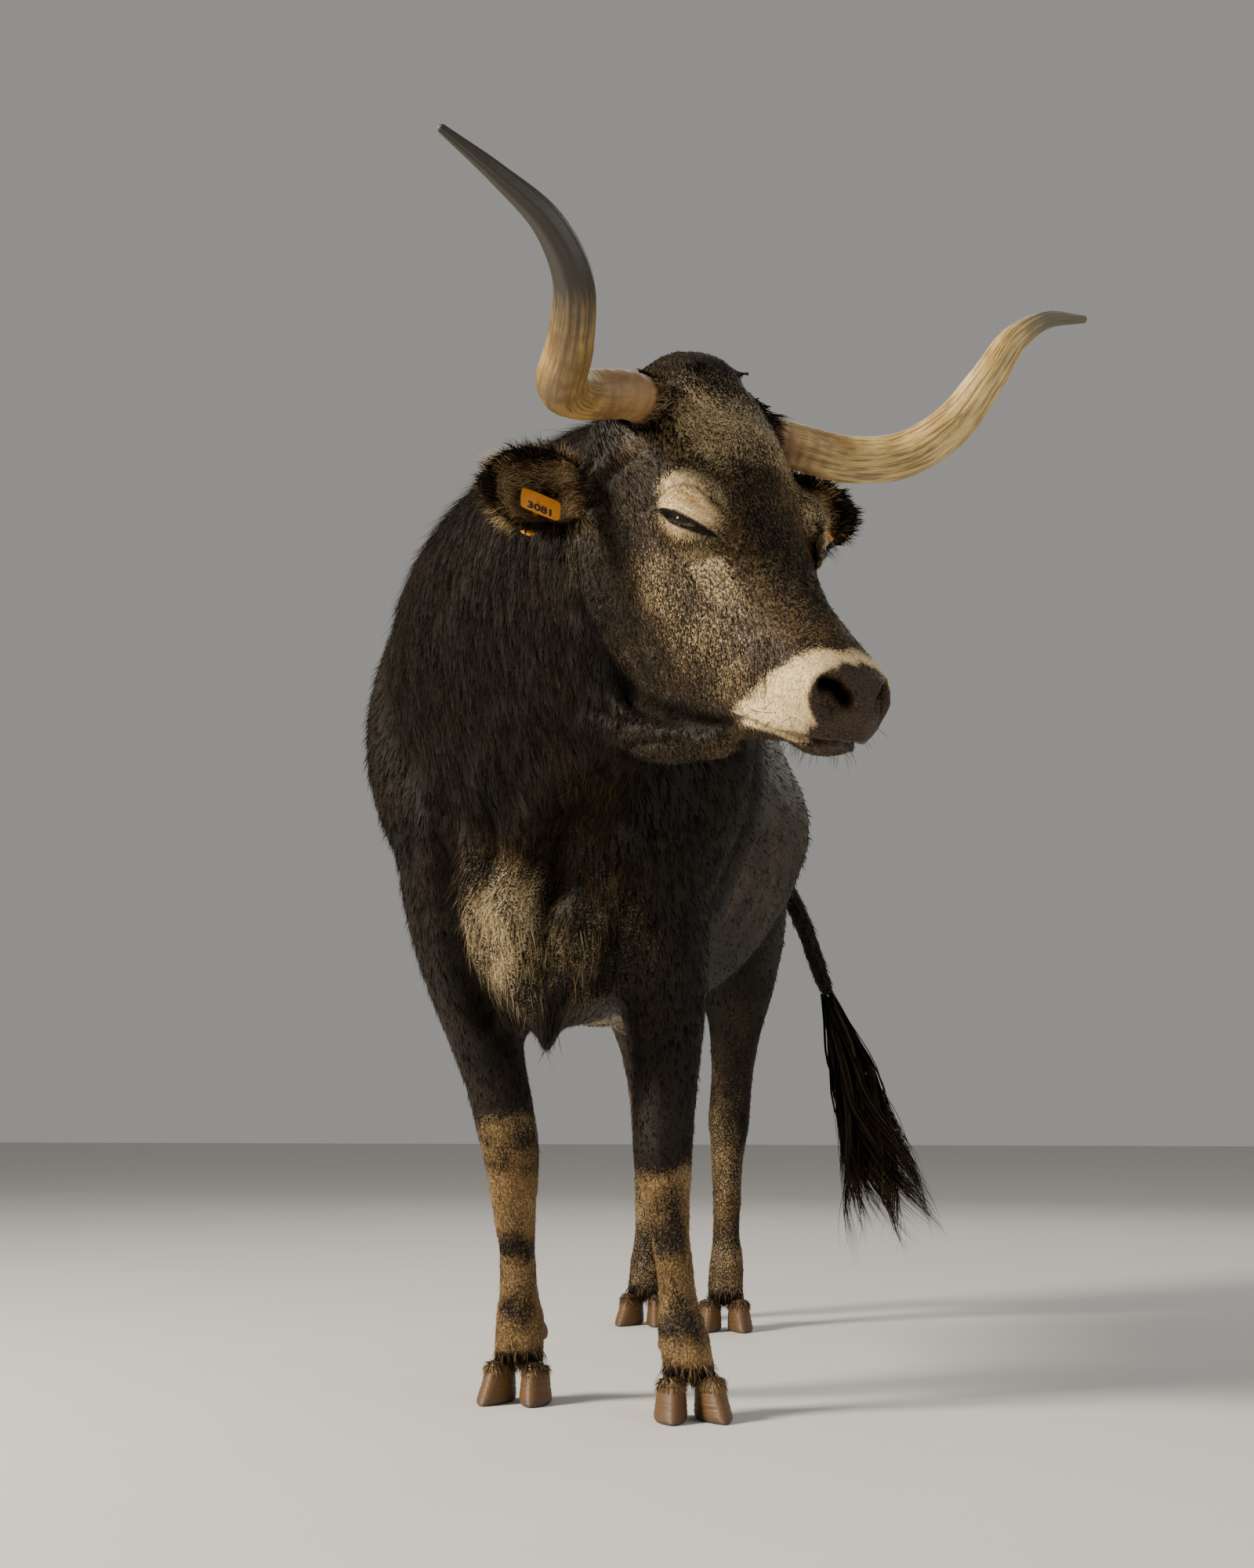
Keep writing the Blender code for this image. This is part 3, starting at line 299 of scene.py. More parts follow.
# The head and ears are remeshed finely and the body coarsely, and both are sewn together
# by a ring of faces across the neck.
THROAT_CUT = on_head((0.0, 0.075, -0.260))
NECK_WAY = head_way((0.0, -0.62, -0.78))
HEAD_GRAIN = 0.0046
BODY_GRAIN = 0.0124
SEAM_WIDTH = 0.009
fine = swollen_flesh(["head", "neck"], SIDES)
finish_with(fine, "REMESH", mode="VOXEL", voxel_size=HEAD_GRAIN)
keep_side(fine, THROAT_CUT, -NECK_WAY)
skin = swollen_flesh(FLESH, ())
finish_with(skin, "REMESH", mode="VOXEL", voxel_size=BODY_GRAIN)
keep_side(skin, THROAT_CUT + NECK_WAY * SEAM_WIDTH, NECK_WAY)
pick(skin, fine)
bpy.ops.object.join()
skin.name = skin.data.name = "skin"

EYE = (0.096, 0.222, -0.086)
EYE_RADIUS = 0.0235
NOSTRIL = (0.044, 0.530, -0.104)
MOUTH = ((0.044, 0.395, -0.240), (0.050, 0.430, -0.226), (0.058, 0.470, -0.204),
         (0.058, 0.505, -0.182), (0.042, 0.532, -0.162), (0.000, 0.541, -0.154))
# Places of the head that get a finer grain: middle and reach
FINE_SPOTS = ((NOSTRIL, 0.042), ((0.050, 0.450, -0.205), 0.040), ((0.020, 0.530, -0.150), 0.040))


def sew_and_refine(piece):
    """Bridges the two rims, drops stray bubbles and refines the nose and mouth."""
    shape = bmesh.new()
    shape.from_mesh(piece.data)
    bmesh.ops.bridge_loops(shape, edges=[edge for edge in shape.edges if edge.is_boundary])
    seen, islands = set(), []
    for start in shape.verts:
        if start in seen:
            continue
        island, waiting = [], [start]
        seen.add(start)
        while waiting:
            corner = waiting.pop()
            island.append(corner)
            for edge in corner.link_edges:
                other = edge.other_vert(corner)
                if other not in seen:
                    seen.add(other)
                    waiting.append(other)
        islands.append(island)
    islands.sort(key=len)
    for island in islands[:-1]:
        bmesh.ops.delete(shape, geom=island, context="VERTS")
    spots = [(Vector(on_head(middle, side)), reach) for middle, reach in FINE_SPOTS for side in SIDES]
    rich = [face for face in shape.faces if any((face.calc_center_median() - spot).length < reach
                                                for spot, reach in spots)]
    edges = list({edge for face in rich for edge in face.edges})
    bmesh.ops.subdivide_edges(shape, edges=edges, cuts=1, use_grid_fill=True)
    bmesh.ops.triangulate(shape, faces=shape.faces[:])
    shape.to_mesh(piece.data)
    shape.free()


# Shares from 0 to 1 by region, which blend the smoothing and the depth of the coat.
sew_and_refine(skin)
places, faces = read_mesh(skin)
local = in_head(places)
aside = np.abs(local[:, 0])
half = np.stack([aside, local[:, 1], local[:, 2]], axis=1)
head_share = 1 - ramp((places - THROAT_CUT) @ NECK_WAY, -0.01, 0.07)
low_edge = -0.23 + 0.13 * ramp(local[:, 1], 0.02, 0.09)
poll_share = ramp(local[:, 2], low_edge, low_edge + 0.05) * (1 - ramp(local[:, 1], 0.13, 0.17))
poll_share *= 1 - ramp(aside, 0.128, 0.148)
poll_share *= ramp((places - THROAT_CUT) @ NECK_WAY, 0.16, 0.10)
ear_share = head_share * ramp(aside, 0.118, 0.135) * ramp(-local[:, 1], -0.16, -0.13)
shank_share = 1 - ramp(places[:, 2], 0.42, 0.60)
tail_share = ramp(places[:, 1], 1.13, 1.17)


def toward(start, goal, share):
    """Blend from start to goal."""
    return start + (goal - start) * share


# Rounds of smoothing: many on the trunk and poll, few on the head, legs and ears. The mouth
# and nostrils of the solid head are smoothed away, and finer ones follow below.
rounds = toward(46.0, 4.0, head_share)
rounds = toward(rounds, 60.0, poll_share)
rounds = toward(rounds, 2.0, ear_share)
old_lips = near(half, (0.056, 0.455, -0.195), (0.045, 0.075, 0.055))
rounds = toward(rounds, 34.0, old_lips)
rounds = toward(rounds, 12.0, shank_share)
rounds = toward(rounds, 14.0, tail_share)
places = smoothed(places, faces, rounds)
old_nostril = near(half, (0.044, 0.532, -0.103), (0.040, 0.040, 0.040))
beak = near(local, (0.055, 0.000, 0.015), (0.050, 0.060, 0.045))
places = smoothed(places, faces, poll_share * (90 + 170 * beak) + 45 * old_nostril, (0.60,))

# How deep the hide lies under the solids' surface, so that the coat ends at it.
COAT_DEPTH = 0.0062
FACE_DEPTH = 0.0024
POLL_DEPTH = -0.0050
MUZZLE_DEPTH = 0.0006
EAR_DEPTH = 0.0010
LEG_DEPTH = 0.0028
TAIL_DEPTH = 0.0030
depth = toward(COAT_DEPTH, FACE_DEPTH, head_share)
depth = toward(depth, POLL_DEPTH * (1 - 0.6 * beak), poll_share)
depth = toward(depth, MUZZLE_DEPTH, head_share * ramp(local[:, 1], 0.36, 0.42))
depth = toward(depth, EAR_DEPTH, ear_share)
depth = toward(depth, LEG_DEPTH, shank_share)
depth = toward(depth, TAIL_DEPTH, tail_share)
places = places - corner_normals(places, faces) * (depth + SWELL)[:, None]

JAW_GROOVE = ((0.080, 0.110, -0.310), (0.062, 0.175, -0.345), (0.040, 0.215, -0.366),
              (0.036, 0.280, -0.340), (0.035, 0.339, -0.304), (0.030, 0.387, -0.270),
              (0.040, 0.412, -0.240))

# Creases and folds: a line on the body, how deep and how wide it is, and how much it bulges
# on both sides. Lines of the head are in the head's own axes.
HEAD_FOLDS = [
    (MOUTH, 0.0060, 0.0044, 0.5),
    (((0.054, 0.450, -0.216), (0.059, 0.485, -0.194), (0.050, 0.522, -0.170),
      (0.025, 0.540, -0.157), (0.000, 0.543, -0.153)), 0.0070, 0.0040, 0.2),
    (((0.098, 0.150, -0.120), (0.108, 0.170, -0.072), (0.104, 0.205, -0.045),
      (0.092, 0.240, -0.046)), 0.0022, 0.0050, 0.5),
    (((0.106, 0.190, -0.128), (0.102, 0.235, -0.128), (0.092, 0.272, -0.106)), 0.0016, 0.0050, 0.4),
    (JAW_GROOVE, 0.0120, 0.0120, 0.5),
    (((0.050, 0.160, -0.430), (0.052, 0.215, -0.398), (0.050, 0.270, -0.352)), 0.0045, 0.0090, 0.6),
    (((0.030, 0.250, -0.425), (0.042, 0.300, -0.375), (0.040, 0.350, -0.318)), 0.0040, 0.0080, 0.6),
    (((0.078, 0.432, -0.130), (0.074, 0.452, -0.150), (0.068, 0.462, -0.170)), 0.0014, 0.0040, 0.4),
]
BODY_FOLDS = [
    (((-0.381, -0.370, 0.886), (-0.366, -0.335, 0.770), (-0.342, -0.290, 0.660),
      (-0.319, -0.247, 0.579)), 0.028, 0.022, 0.6),
    (((-0.079, -0.578, 0.924), (-0.140, -0.480, 0.850), (-0.202, -0.400, 0.785),
      (-0.215, -0.395, 0.712), (-0.228, -0.372, 0.620)), 0.030, 0.022, 0.8),
    (((-0.120, -0.560, 0.880), (-0.190, -0.480, 0.800), (-0.262, -0.440, 0.740)), 0.018, 0.020, 0.8),
    (((-0.095, -0.345, 0.790), (-0.100, -0.335, 0.700), (-0.112, -0.310, 0.620)), 0.024, 0.022, 0.6),
    (((-0.275, -0.440, 0.900), (-0.300, -0.420, 0.830), (-0.312, -0.400, 0.760)), 0.010, 0.018, 0.4),
    (((-0.020, -0.600, 1.060), (-0.085, -0.560, 0.990), (-0.170, -0.520, 0.930)), 0.020, 0.022, 0.8),
    (((0.040, -0.180, 1.230), (0.050, -0.130, 1.060), (0.035, -0.110, 0.900),
      (0.000, -0.120, 0.740)), 0.008, 0.035, 0.3),
    (((-0.505, -0.170, 1.230), (-0.520, -0.120, 1.060), (-0.505, -0.100, 0.900),
      (-0.470, -0.110, 0.740)), 0.008, 0.035, 0.3),
]


def snapped(track, spots):
    """For each place of a track the nearest of the spots."""
    return np.array([spots[((spots - place) ** 2).sum(axis=1).argmin()] for place in track])


def folded(places, faces, lines, mirrored, shade):
    """Presses creases into the surface along the lines, and notes in shade how much painted shade each
    corner gets.
    """
    normals = corner_normals(places, faces)
    for line, deep, wide, bulge in lines:
        track = through(line, 60)
        tracks = [track]
        if mirrored:
            tracks = [POLL + track @ HEAD.T, POLL + (track * (-1, 1, 1)) @ HEAD.T]
        for track in tracks:
            track = through(snapped(track[::4], places), 60)
            low, high = track.min(axis=0) - 4 * wide, track.max(axis=0) + 4 * wide
            close = np.flatnonzero(((places > low) & (places < high)).all(axis=1))
            if not len(close):
                continue
            away = np.linalg.norm(places[close, None, :] - track[None], axis=2)
            nearest = away.argmin(axis=1)
            away = away.min(axis=1) / wide
            fade = np.sin(math.pi * np.clip((nearest + 6) / 71, 0, 1)) ** 0.5
            press = np.exp(-away ** 2) - bulge * 0.5 * np.exp(-(away - 2.0) ** 2)
            places[close] -= normals[close] * (deep * fade * press)[:, None]
            # Painted shade along each crease, darkest on its line
            shade[close] = np.maximum(shade[close], 0.8 * fade * np.exp(-(1.4 * away) ** 2))
    return places


crease_shade = np.zeros(len(places))
places = folded(places, faces, HEAD_FOLDS, True, crease_shade)
places = folded(places, faces, BODY_FOLDS, False, crease_shade)

# The front of the nose domes forward and draws in at its sides; the nostrils are deep commas
# with a thick wing over them.
NOSTRIL_LINE = ((0.034, 0.546, -0.092), (0.040, 0.541, -0.093), (0.047, 0.532, -0.093),
                (0.053, 0.521, -0.090))
NOSTRIL_WING = ((0.026, 0.530, -0.078), (0.040, 0.508, -0.066), (0.062, 0.496, -0.074),
                (0.070, 0.508, -0.094), (0.062, 0.524, -0.112))
local = in_head(places)
front = head_share * ramp(local[:, 1], 0.485, 0.545)
dome = 1 - np.clip(local[:, 0] / 0.066, -1, 1) ** 2
dome = dome * (1 - np.clip((local[:, 2] + 0.108) / 0.055, -1, 1) ** 2)
places = places + np.outer(0.007 * front * dome, HEAD[:, 1])
places = places - np.outer(0.10 * front * local[:, 0], HEAD[:, 0])
for side in SIDES:
    pit = through([on_head(place, side) for place in NOSTRIL_LINE], 30)
    wing = through([on_head(place, side) for place in NOSTRIL_WING], 30)
    normals = corner_normals(places, faces)
    close = np.flatnonzero(np.linalg.norm(places - on_head(NOSTRIL, side), axis=1) < 0.09)
    spots = places[close]
    pit = through(snapped(pit[::5], spots), 30)
    away = np.linalg.norm(spots[:, None] - wing[None], axis=2).min(axis=1)
    places[close] += normals[close] * (0.0030 * np.exp(-(away / 0.0105) ** 2))[:, None]
    away = np.linalg.norm(spots[:, None] - pit[None], axis=2).min(axis=1)
    places[close] += normals[close] * (0.0022 * np.exp(-((away - 0.016) / 0.006) ** 2))[:, None]
    # Painted shade inside each nostril's pit
    crease_shade[close] = np.maximum(crease_shade[close], np.exp(-(away / 0.0085) ** 4))
    inward = normals[close][away < 0.009].mean(axis=0) + head_way((0.0, 0.20, 0.0), side)
    places[close] -= inward * (0.0220 * np.exp(-(away / 0.0080) ** 2))[:, None]
places = smoothed(places, faces, toward(2.0, 1.0, head_share))

EYE_GAZE = (0.95, 0.20, 0.25)
EYE_SLANT = math.radians(-18.0)


def eye_axes(side):
    """Middle of an eye and its directions: along its slit, up across it and out of it."""
    along = head_way((0.0, math.cos(EYE_SLANT), -math.sin(EYE_SLANT)), side)
    gaze = head_way(EYE_GAZE, side)
    gaze = aimed(gaze - along * (gaze @ along))
    up = np.cross(along, gaze)
    if up @ HEAD[:, 2] < 0:
        up = -up
    return on_head(EYE, side), along, up, gaze


# The lids are modelled apart, finely, over a hollow pressed into the face round each eye.
LID_REACH = (0.066, 0.042)
LID_HALF_LENGTH = 0.043
LID_OPEN = (0.0052, 0.0058)        # how far the upper and the lower margin stand off the middle
FACE_ROUND_EYE = {}


def eye_flat(places, side):
    """Places as their distances along an eye, up across it and out of it."""
    middle, along, up, gaze = eye_axes(side)
    rest = places - middle
    return rest @ along, rest @ up, rest @ gaze


def terms(run, rise):
    """Terms of the bowed plane that is fitted to the face round an eye."""
    return np.stack([np.ones_like(run), run, rise, run ** 2, run * rise, rise ** 2], axis=-1)


def lid_height(run, rise, side):
    """Height of the face over the middle of the eye, with the round of the ball under it."""
    plane, nearby, heights = FACE_ROUND_EYE[side]
    face = terms(run, rise) @ plane
    reach = np.hypot(run / LID_REACH[0], rise / LID_REACH[1])
    for index in np.flatnonzero(reach > 0.55):
        found = nearby.find_n((run[index], rise[index], 0.0), 14)
        away = np.array([item[2] for item in found])
        weight = np.exp(-(away / 0.0045) ** 2) + 1e-9
        near_by = (heights[[item[1] for item in found]] * weight).sum() / weight.sum()
        face[index] = toward(face[index], near_by, ramp(reach[index], 0.55, 0.85))
    away = np.hypot(run, rise) / (EYE_RADIUS + 0.0040)
    ball = np.where(away < 0.8, np.sqrt(1 - np.minimum(away, 0.8) ** 2), 0.6 - 1.333 * (away - 0.8))
    ball = ball * (EYE_RADIUS + 0.0040)
    return 0.5 * (face + ball + np.sqrt((face - ball) ** 2 + 0.003 ** 2))


for side in SIDES:
    run, rise, height = eye_flat(places, side)
    reach = np.hypot(run / LID_REACH[0], rise / LID_REACH[1])
    ring = np.flatnonzero((reach > 0.95) & (reach < 1.35) & (height > -0.045))
    plane = np.linalg.lstsq(terms(run[ring], rise[ring]), height[ring], rcond=None)[0]
    close = np.flatnonzero((reach > 0.45) & (reach < 1.3) & (height > -0.03))
    nearby = KDTree(len(close))
    for index, corner in enumerate(close):
        nearby.insert((run[corner], rise[corner], 0.0), index)
    nearby.balance()
    FACE_ROUND_EYE[side] = (plane, nearby, height[close].copy())
    inside = np.flatnonzero((reach < 1.0) & (height > -0.03))
    sunk = 0.0030 * (1 - ramp(reach[inside], 0.60, 0.92))
    slit = np.exp(-(rise[inside] / 0.013) ** 4 - (run[inside] / 0.048) ** 4)
    level = lid_height(run[inside], rise[inside], side) - sunk - 0.016 * slit
    drop = np.maximum(0, height[inside] - level)
    places[inside] -= eye_axes(side)[3] * drop[:, None]
skin.data.vertices.foreach_set("co", places.ravel())
skin.data.shade_smooth()
skin_places, skin_faces = places, faces
skin_normals = corner_normals(places, faces)

TAIL_LINE = np.array(((0.000, 0.960, 1.240), (0.005, 1.055, 1.235), (0.050, 1.120, 1.165),
                      (0.135, 1.150, 1.050), (0.215, 1.145, 0.950), (0.262, 1.125, 0.865),
                      (0.300, 1.110, 0.760), (0.336, 1.095, 0.650), (0.362, 1.085, 0.560),
                      (0.385, 1.080, 0.470), (0.405, 1.075, 0.390))) + (-0.2335, 0.1655, 0.0)
BRISKET_SWIRL = (-0.285, -0.370, 0.690)


def ear_coordinates(places, side):
    """Shares along an ear and across it, and the distance out of its hollow."""
    root, length, along, across, out = ear_axes(side)
    rest = places - root
    return rest @ along / length, rest @ across / EAR_HALF_WIDTH, rest @ out


def wobble(places, fine=1.0):
    """Slow uneven waves through space, from -1 to 1, to roughen the edges of the markings."""
    x, y, z = (places * 31.0 * fine).T
    return (np.sin(x + 1.3 * np.sin(y * 0.7 + z)) + np.sin(1.7 * z - 0.9 * y + 2.0 * np.sin(x * 0.6))
            + np.sin(2.3 * y + 1.9 * x + np.sin(z * 1.4))) / 3


def bell(value, middle, width):
    """1 at the middle, falling off on both sides."""
    return np.exp(-((value - middle) / width) ** 2)


# Cream round the eyes, under them and on the cheeks: how pale, middle and reach
CREAM_SPOTS = ((0.92, (0.104, 0.204, -0.070), (0.085, 0.072, 0.048)),
               (0.32, (0.086, 0.300, -0.112), (0.040, 0.110, 0.040)),
               (0.17, (0.080, 0.350, -0.180), (0.070, 0.130, 0.090)),
               (0.17, (0.096, 0.250, -0.165), (0.070, 0.090, 0.060)))


def markings(places):
    """Shares of cream, brown and grey over the black of the coat, and of bare skin."""
    local = in_head(places)
    aside, down, out = np.abs(local[:, 0]), local[:, 1], local[:, 2]
    half = np.stack([aside, down, out], axis=1)
    head = 1 - ramp((places - THROAT_CUT) @ NECK_WAY, -0.03, 0.07)
    x, y, z = places.T
    uneven = wobble(places)

    # Grey of back and flanks, weaker on the rump
    grey = 0.25 * ramp(y + 0.05 * uneven, -0.26, 0.06) * ramp(z + 0.03 * uneven, 0.58, 0.84)
    grey *= 1 - 0.60 * ramp(y, 0.62, 1.05)
    grey *= 1 - 0.40 * near(places, (-0.233, 0.75, 0.80), (0.36, 0.34, 0.32))
    grey *= 1 - head
    # Pale streaks of the brisket, pale belly, and a brown tinge of chest, throat and hind legs
    streaky = 0.5 + 0.5 * np.sin(88 * x + 30 * z + 2.2 * uneven)
    chest = near(places, (-0.285, -0.385, 0.705), (0.115, 0.18, 0.165))
    pale = (0.13 + 0.16 * streaky) * chest + 0.10 * chest ** 4
    beside = near(places, (-0.150, -0.350, 0.690), (0.13, 0.15, 0.12))
    pale = np.maximum(pale, (0.03 + 0.09 * streaky) * beside)
    pale = np.maximum(pale, 0.20 * near(places, (-0.165, -0.270, 0.600), (0.05, 0.10, 0.045)))
    pale = np.maximum(pale, 0.26 * near(places, (-0.233, 0.20, 0.600), (0.16, 0.55, 0.07)))
    brown = 0.045 + 0.14 * near(places, (-0.22, -0.40, 0.76), (0.20, 0.22, 0.20))
    brown = np.maximum(brown, 0.13 * near(places, (-0.13, -0.55, 0.96), (0.12, 0.16, 0.14)))
    brown = np.maximum(brown, 0.15 * (1 - ramp(z, 0.50, 0.80)) * ramp(y, 0.5, 0.7))
    # Tan lower legs with ragged black bands, higher on the right foreleg than on the left
    left_leg = x > -0.17
    top = np.where(left_leg, 0.335, 0.405)
    tan = 1 - ramp(z + 0.022 * uneven, top, top + 0.040)
    tan = np.where(y > 0.4, 1 - ramp(z + 0.03 * uneven, 0.30, 0.56), tan)
    ragged = uneven + 0.7 * wobble(places, 2.3)
    front = ramp(-leg_facing(places) + 0.5 * uneven, -0.35, 0.45) * ramp(-y, -0.4, -0.2)
    band, width = np.where(left_leg, 0.270, 0.235), np.where(left_leg, 0.055, 0.034)
    rough = z + 0.03 * ragged
    patch = 0.75 * bell(rough, band, width) + 0.80 * bell(rough, 0.140, 0.030)
    patch = (patch + 0.60 * bell(rough, 0.385, 0.026) * ~left_leg) * front
    patch = np.clip(patch + 0.95 * bell(z, 0.070, 0.009), 0, 1)
    brown = toward(brown, 0.74 - 0.42 * ramp(y, 0.3, 0.5) + 0.14 * uneven, tan)
    brown = brown * (1 - 0.94 * patch * tan)
    pale = np.maximum(pale, 0.11 * tan * (1 - patch))

    # Brown of the face, darker on cheek, crown, throat and bridge of the nose, with painted shade in the
    # jaw groove
    face_brown = 0.30 - 0.16 * ramp(-out, 0.17, 0.30) * (1 - ramp(down, 0.30, 0.42))
    face_brown *= 1 - 0.65 * near(half, (0.112, 0.100, -0.130), (0.060, 0.110, 0.110))
    face_brown *= 1 - 0.60 * ramp(-out, 0.30, 0.36)
    face_brown *= 0.45 + 0.55 * ramp(down, 0.0, 0.10)
    face_brown *= 1 - 0.75 * (1 - ramp(down, 0.02, 0.12)) * ramp(-out, 0.08, 0.15)
    face_brown *= 1 - 0.50 * near(half, (0.0, 0.33, -0.06), (0.062, 0.15, 0.08))
    # Painted shade along the jaw groove
    groove = bell(nearest_reach(half, through(JAW_GROOVE, 40)), 0.0, 0.024)
    face_brown *= 1 - 0.90 * groove
    brown = toward(brown, face_brown, head)
    # Cream of the brow and round the eyes
    crown = 0.28 * near(half, (0.030, 0.115, 0.000), (0.12, 0.13, 0.09))
    cream = crown * (0.34 + 0.66 * ramp(down, -0.02, 0.05))
    for strength, centre, radii in CREAM_SPOTS:
        cream = np.maximum(cream, strength * near(half, centre, radii))
    cream *= 1 - 0.75 * near(half, (0.020, 0.245, -0.040), (0.058, 0.110, 0.06))
    # The jaw groove's painted shade also takes out the cream
    cream *= 1 - 0.90 * groove
    # Cream ring of the muzzle, brown chin, bare nose pad and dark lips
    back_edge = 0.475 + (out + 0.067) * 0.40 + 0.006 * wobble(places, 1.6)
    band = ramp(down, back_edge - 0.016, back_edge + 0.014)
    chin = ramp(-out, 0.158 + (0.540 - down) * 0.60, 0.168 + (0.540 - down) * 0.60)
    cream = np.maximum(cream, 0.84 * band * (1 - 0.95 * chin))
    pad = np.linalg.norm((half - (0.0, 0.545, -0.104)) / (0.070, 0.100, 0.042), axis=1)
    pad = 1 - ramp(pad + 0.05 * wobble(places, 2.4), 0.80, 1.06)
    pad = np.maximum(pad, near(half, (0.0, 0.550, -0.146), (0.075, 0.06, 0.034)))
    pad = head * ramp(pad, 0.05, 0.75)
    lip = 1 - ramp(nearest_reach(half, through(MOUTH, 30)), 0.003, 0.012)
    pale = toward(pale, cream * (1 - pad) * (1 - lip), head)
    brown = toward(brown, 0.30, np.maximum(chin * band, pad) * head)
    # The jaw groove's painted shade keeps no grey
    grey = toward(grey, 0.20 * (1 - band) * (1 - groove), head * ramp(down, 0.10, 0.30))

    # Black ears with golden hair inside, painted shade in the canal, a pale lower root and a grey streak
    # before them
    for side in SIDES:
        share, across, depth = ear_coordinates(places, side)
        ear = head * ramp(share, 0.02, 0.14) * ramp(local[:, 0] * SIGN[side], 0.10, 0.13)
        inside = ear * ramp(depth, -0.038, -0.028) * ramp(share, 0.22, 0.34)
        inside *= (1 - ramp(share, 0.74, 0.88)) * (1 - ramp(np.abs(across), 0.50, 0.78))
        # Painted shade deep in the ear's hollow, at its canal
        canal_shade = bell(share, 0.42, 0.09) * bell(across, -0.05, 0.20) * inside
        brown = toward(brown, 0.09, ear)
        brown = toward(brown, 1.0 - canal_shade, inside)
        pale = toward(pale, 0.0, ear)
        pale = toward(pale, 0.27 * (1 - canal_shade), inside)
        low = ear * ramp(across, 0.45, 0.75) * (1 - ramp(share, 0.22, 0.36))
        pale = toward(pale, 0.28, low)
        grey = toward(grey, 0.03, ear)
        streak = head * bell(share, 0.02, 0.07) * bell(across, -0.45, 0.40)
        grey = np.maximum(grey, 0.45 * streak)
    # Black tail
    tail = ramp(y, 1.18, 1.21)
    pale, brown, grey = pale * (1 - tail), toward(brown, 0.07, tail), toward(grey, 0.04, tail)
    return np.clip(np.stack([pale, brown, grey, np.maximum(pad, lip * head)], axis=1), 0, 1)


def nearest_reach(places, track):
    """Distance of each place to the nearest of the track's places."""
    reach = np.full(len(places), 9.0)
    for spot in track:
        reach = np.minimum(reach, np.linalg.norm(places - spot, axis=1))
    return reach


def leg_facing(places):
    """How far to the rear a place of a leg lies on it: -1 at its front, 1 at its back."""
    x, y = places.T[:2]
    fore = y < 0.4
    middle = np.where(fore, np.where(x > -0.17, -0.262, -0.160), np.where(x > -0.26, 1.02, 1.115))
    return np.clip((y - middle) / 0.035, -1, 1)


def write_attribute(piece, name, values):
    """Stores up to four values for each corner of a piece, for its material to read."""
    layer = piece.data.attributes.new(name, "FLOAT_COLOR", "POINT")
    full = np.ones((len(piece.data.vertices), 4))
    full[:, :values.shape[1]] = values
    layer.data.foreach_set("color", full.ravel())


# Skin corners with painted crease shade, kept so that tufts rooted near them get it too
CREASED = np.flatnonzero(crease_shade > 0.10)
CREASE_TREE = KDTree(len(CREASED))
for index, corner in enumerate(CREASED):
    CREASE_TREE.insert(skin_places[corner], index)
CREASE_TREE.balance()


def crease_shade_near(places):
    """Painted crease shade of the nearest shaded skin corner, within 7 mm of each place."""
    found = [CREASE_TREE.find(place)[1:] for place in places]
    return np.array([crease_shade[CREASED[which]] if away < 0.007 else 0.0 for which, away in found])


write_attribute(skin, "Marks", markings(skin_places))
# The painted crease shade is stored as the third value of Strand
write_attribute(skin, "Strand", np.outer(crease_shade, (0, 0, 1)))

# Hair from black to cream, the painted shade of a deep crease, and the nose pad with its pebbles
BLACK = (0.0058, 0.0040, 0.0025, 1)
BROWN = (0.172, 0.102, 0.038, 1)
GREY = (0.180, 0.128, 0.072, 1)
CREAM = (0.760, 0.590, 0.330, 1)
PAINTED_CREASE_SHADE = (0.0030, 0.0020, 0.0015, 1)
NOSE = (0.018, 0.011, 0.007, 1)
NOSE_PEBBLE = (0.062, 0.038, 0.023, 1)


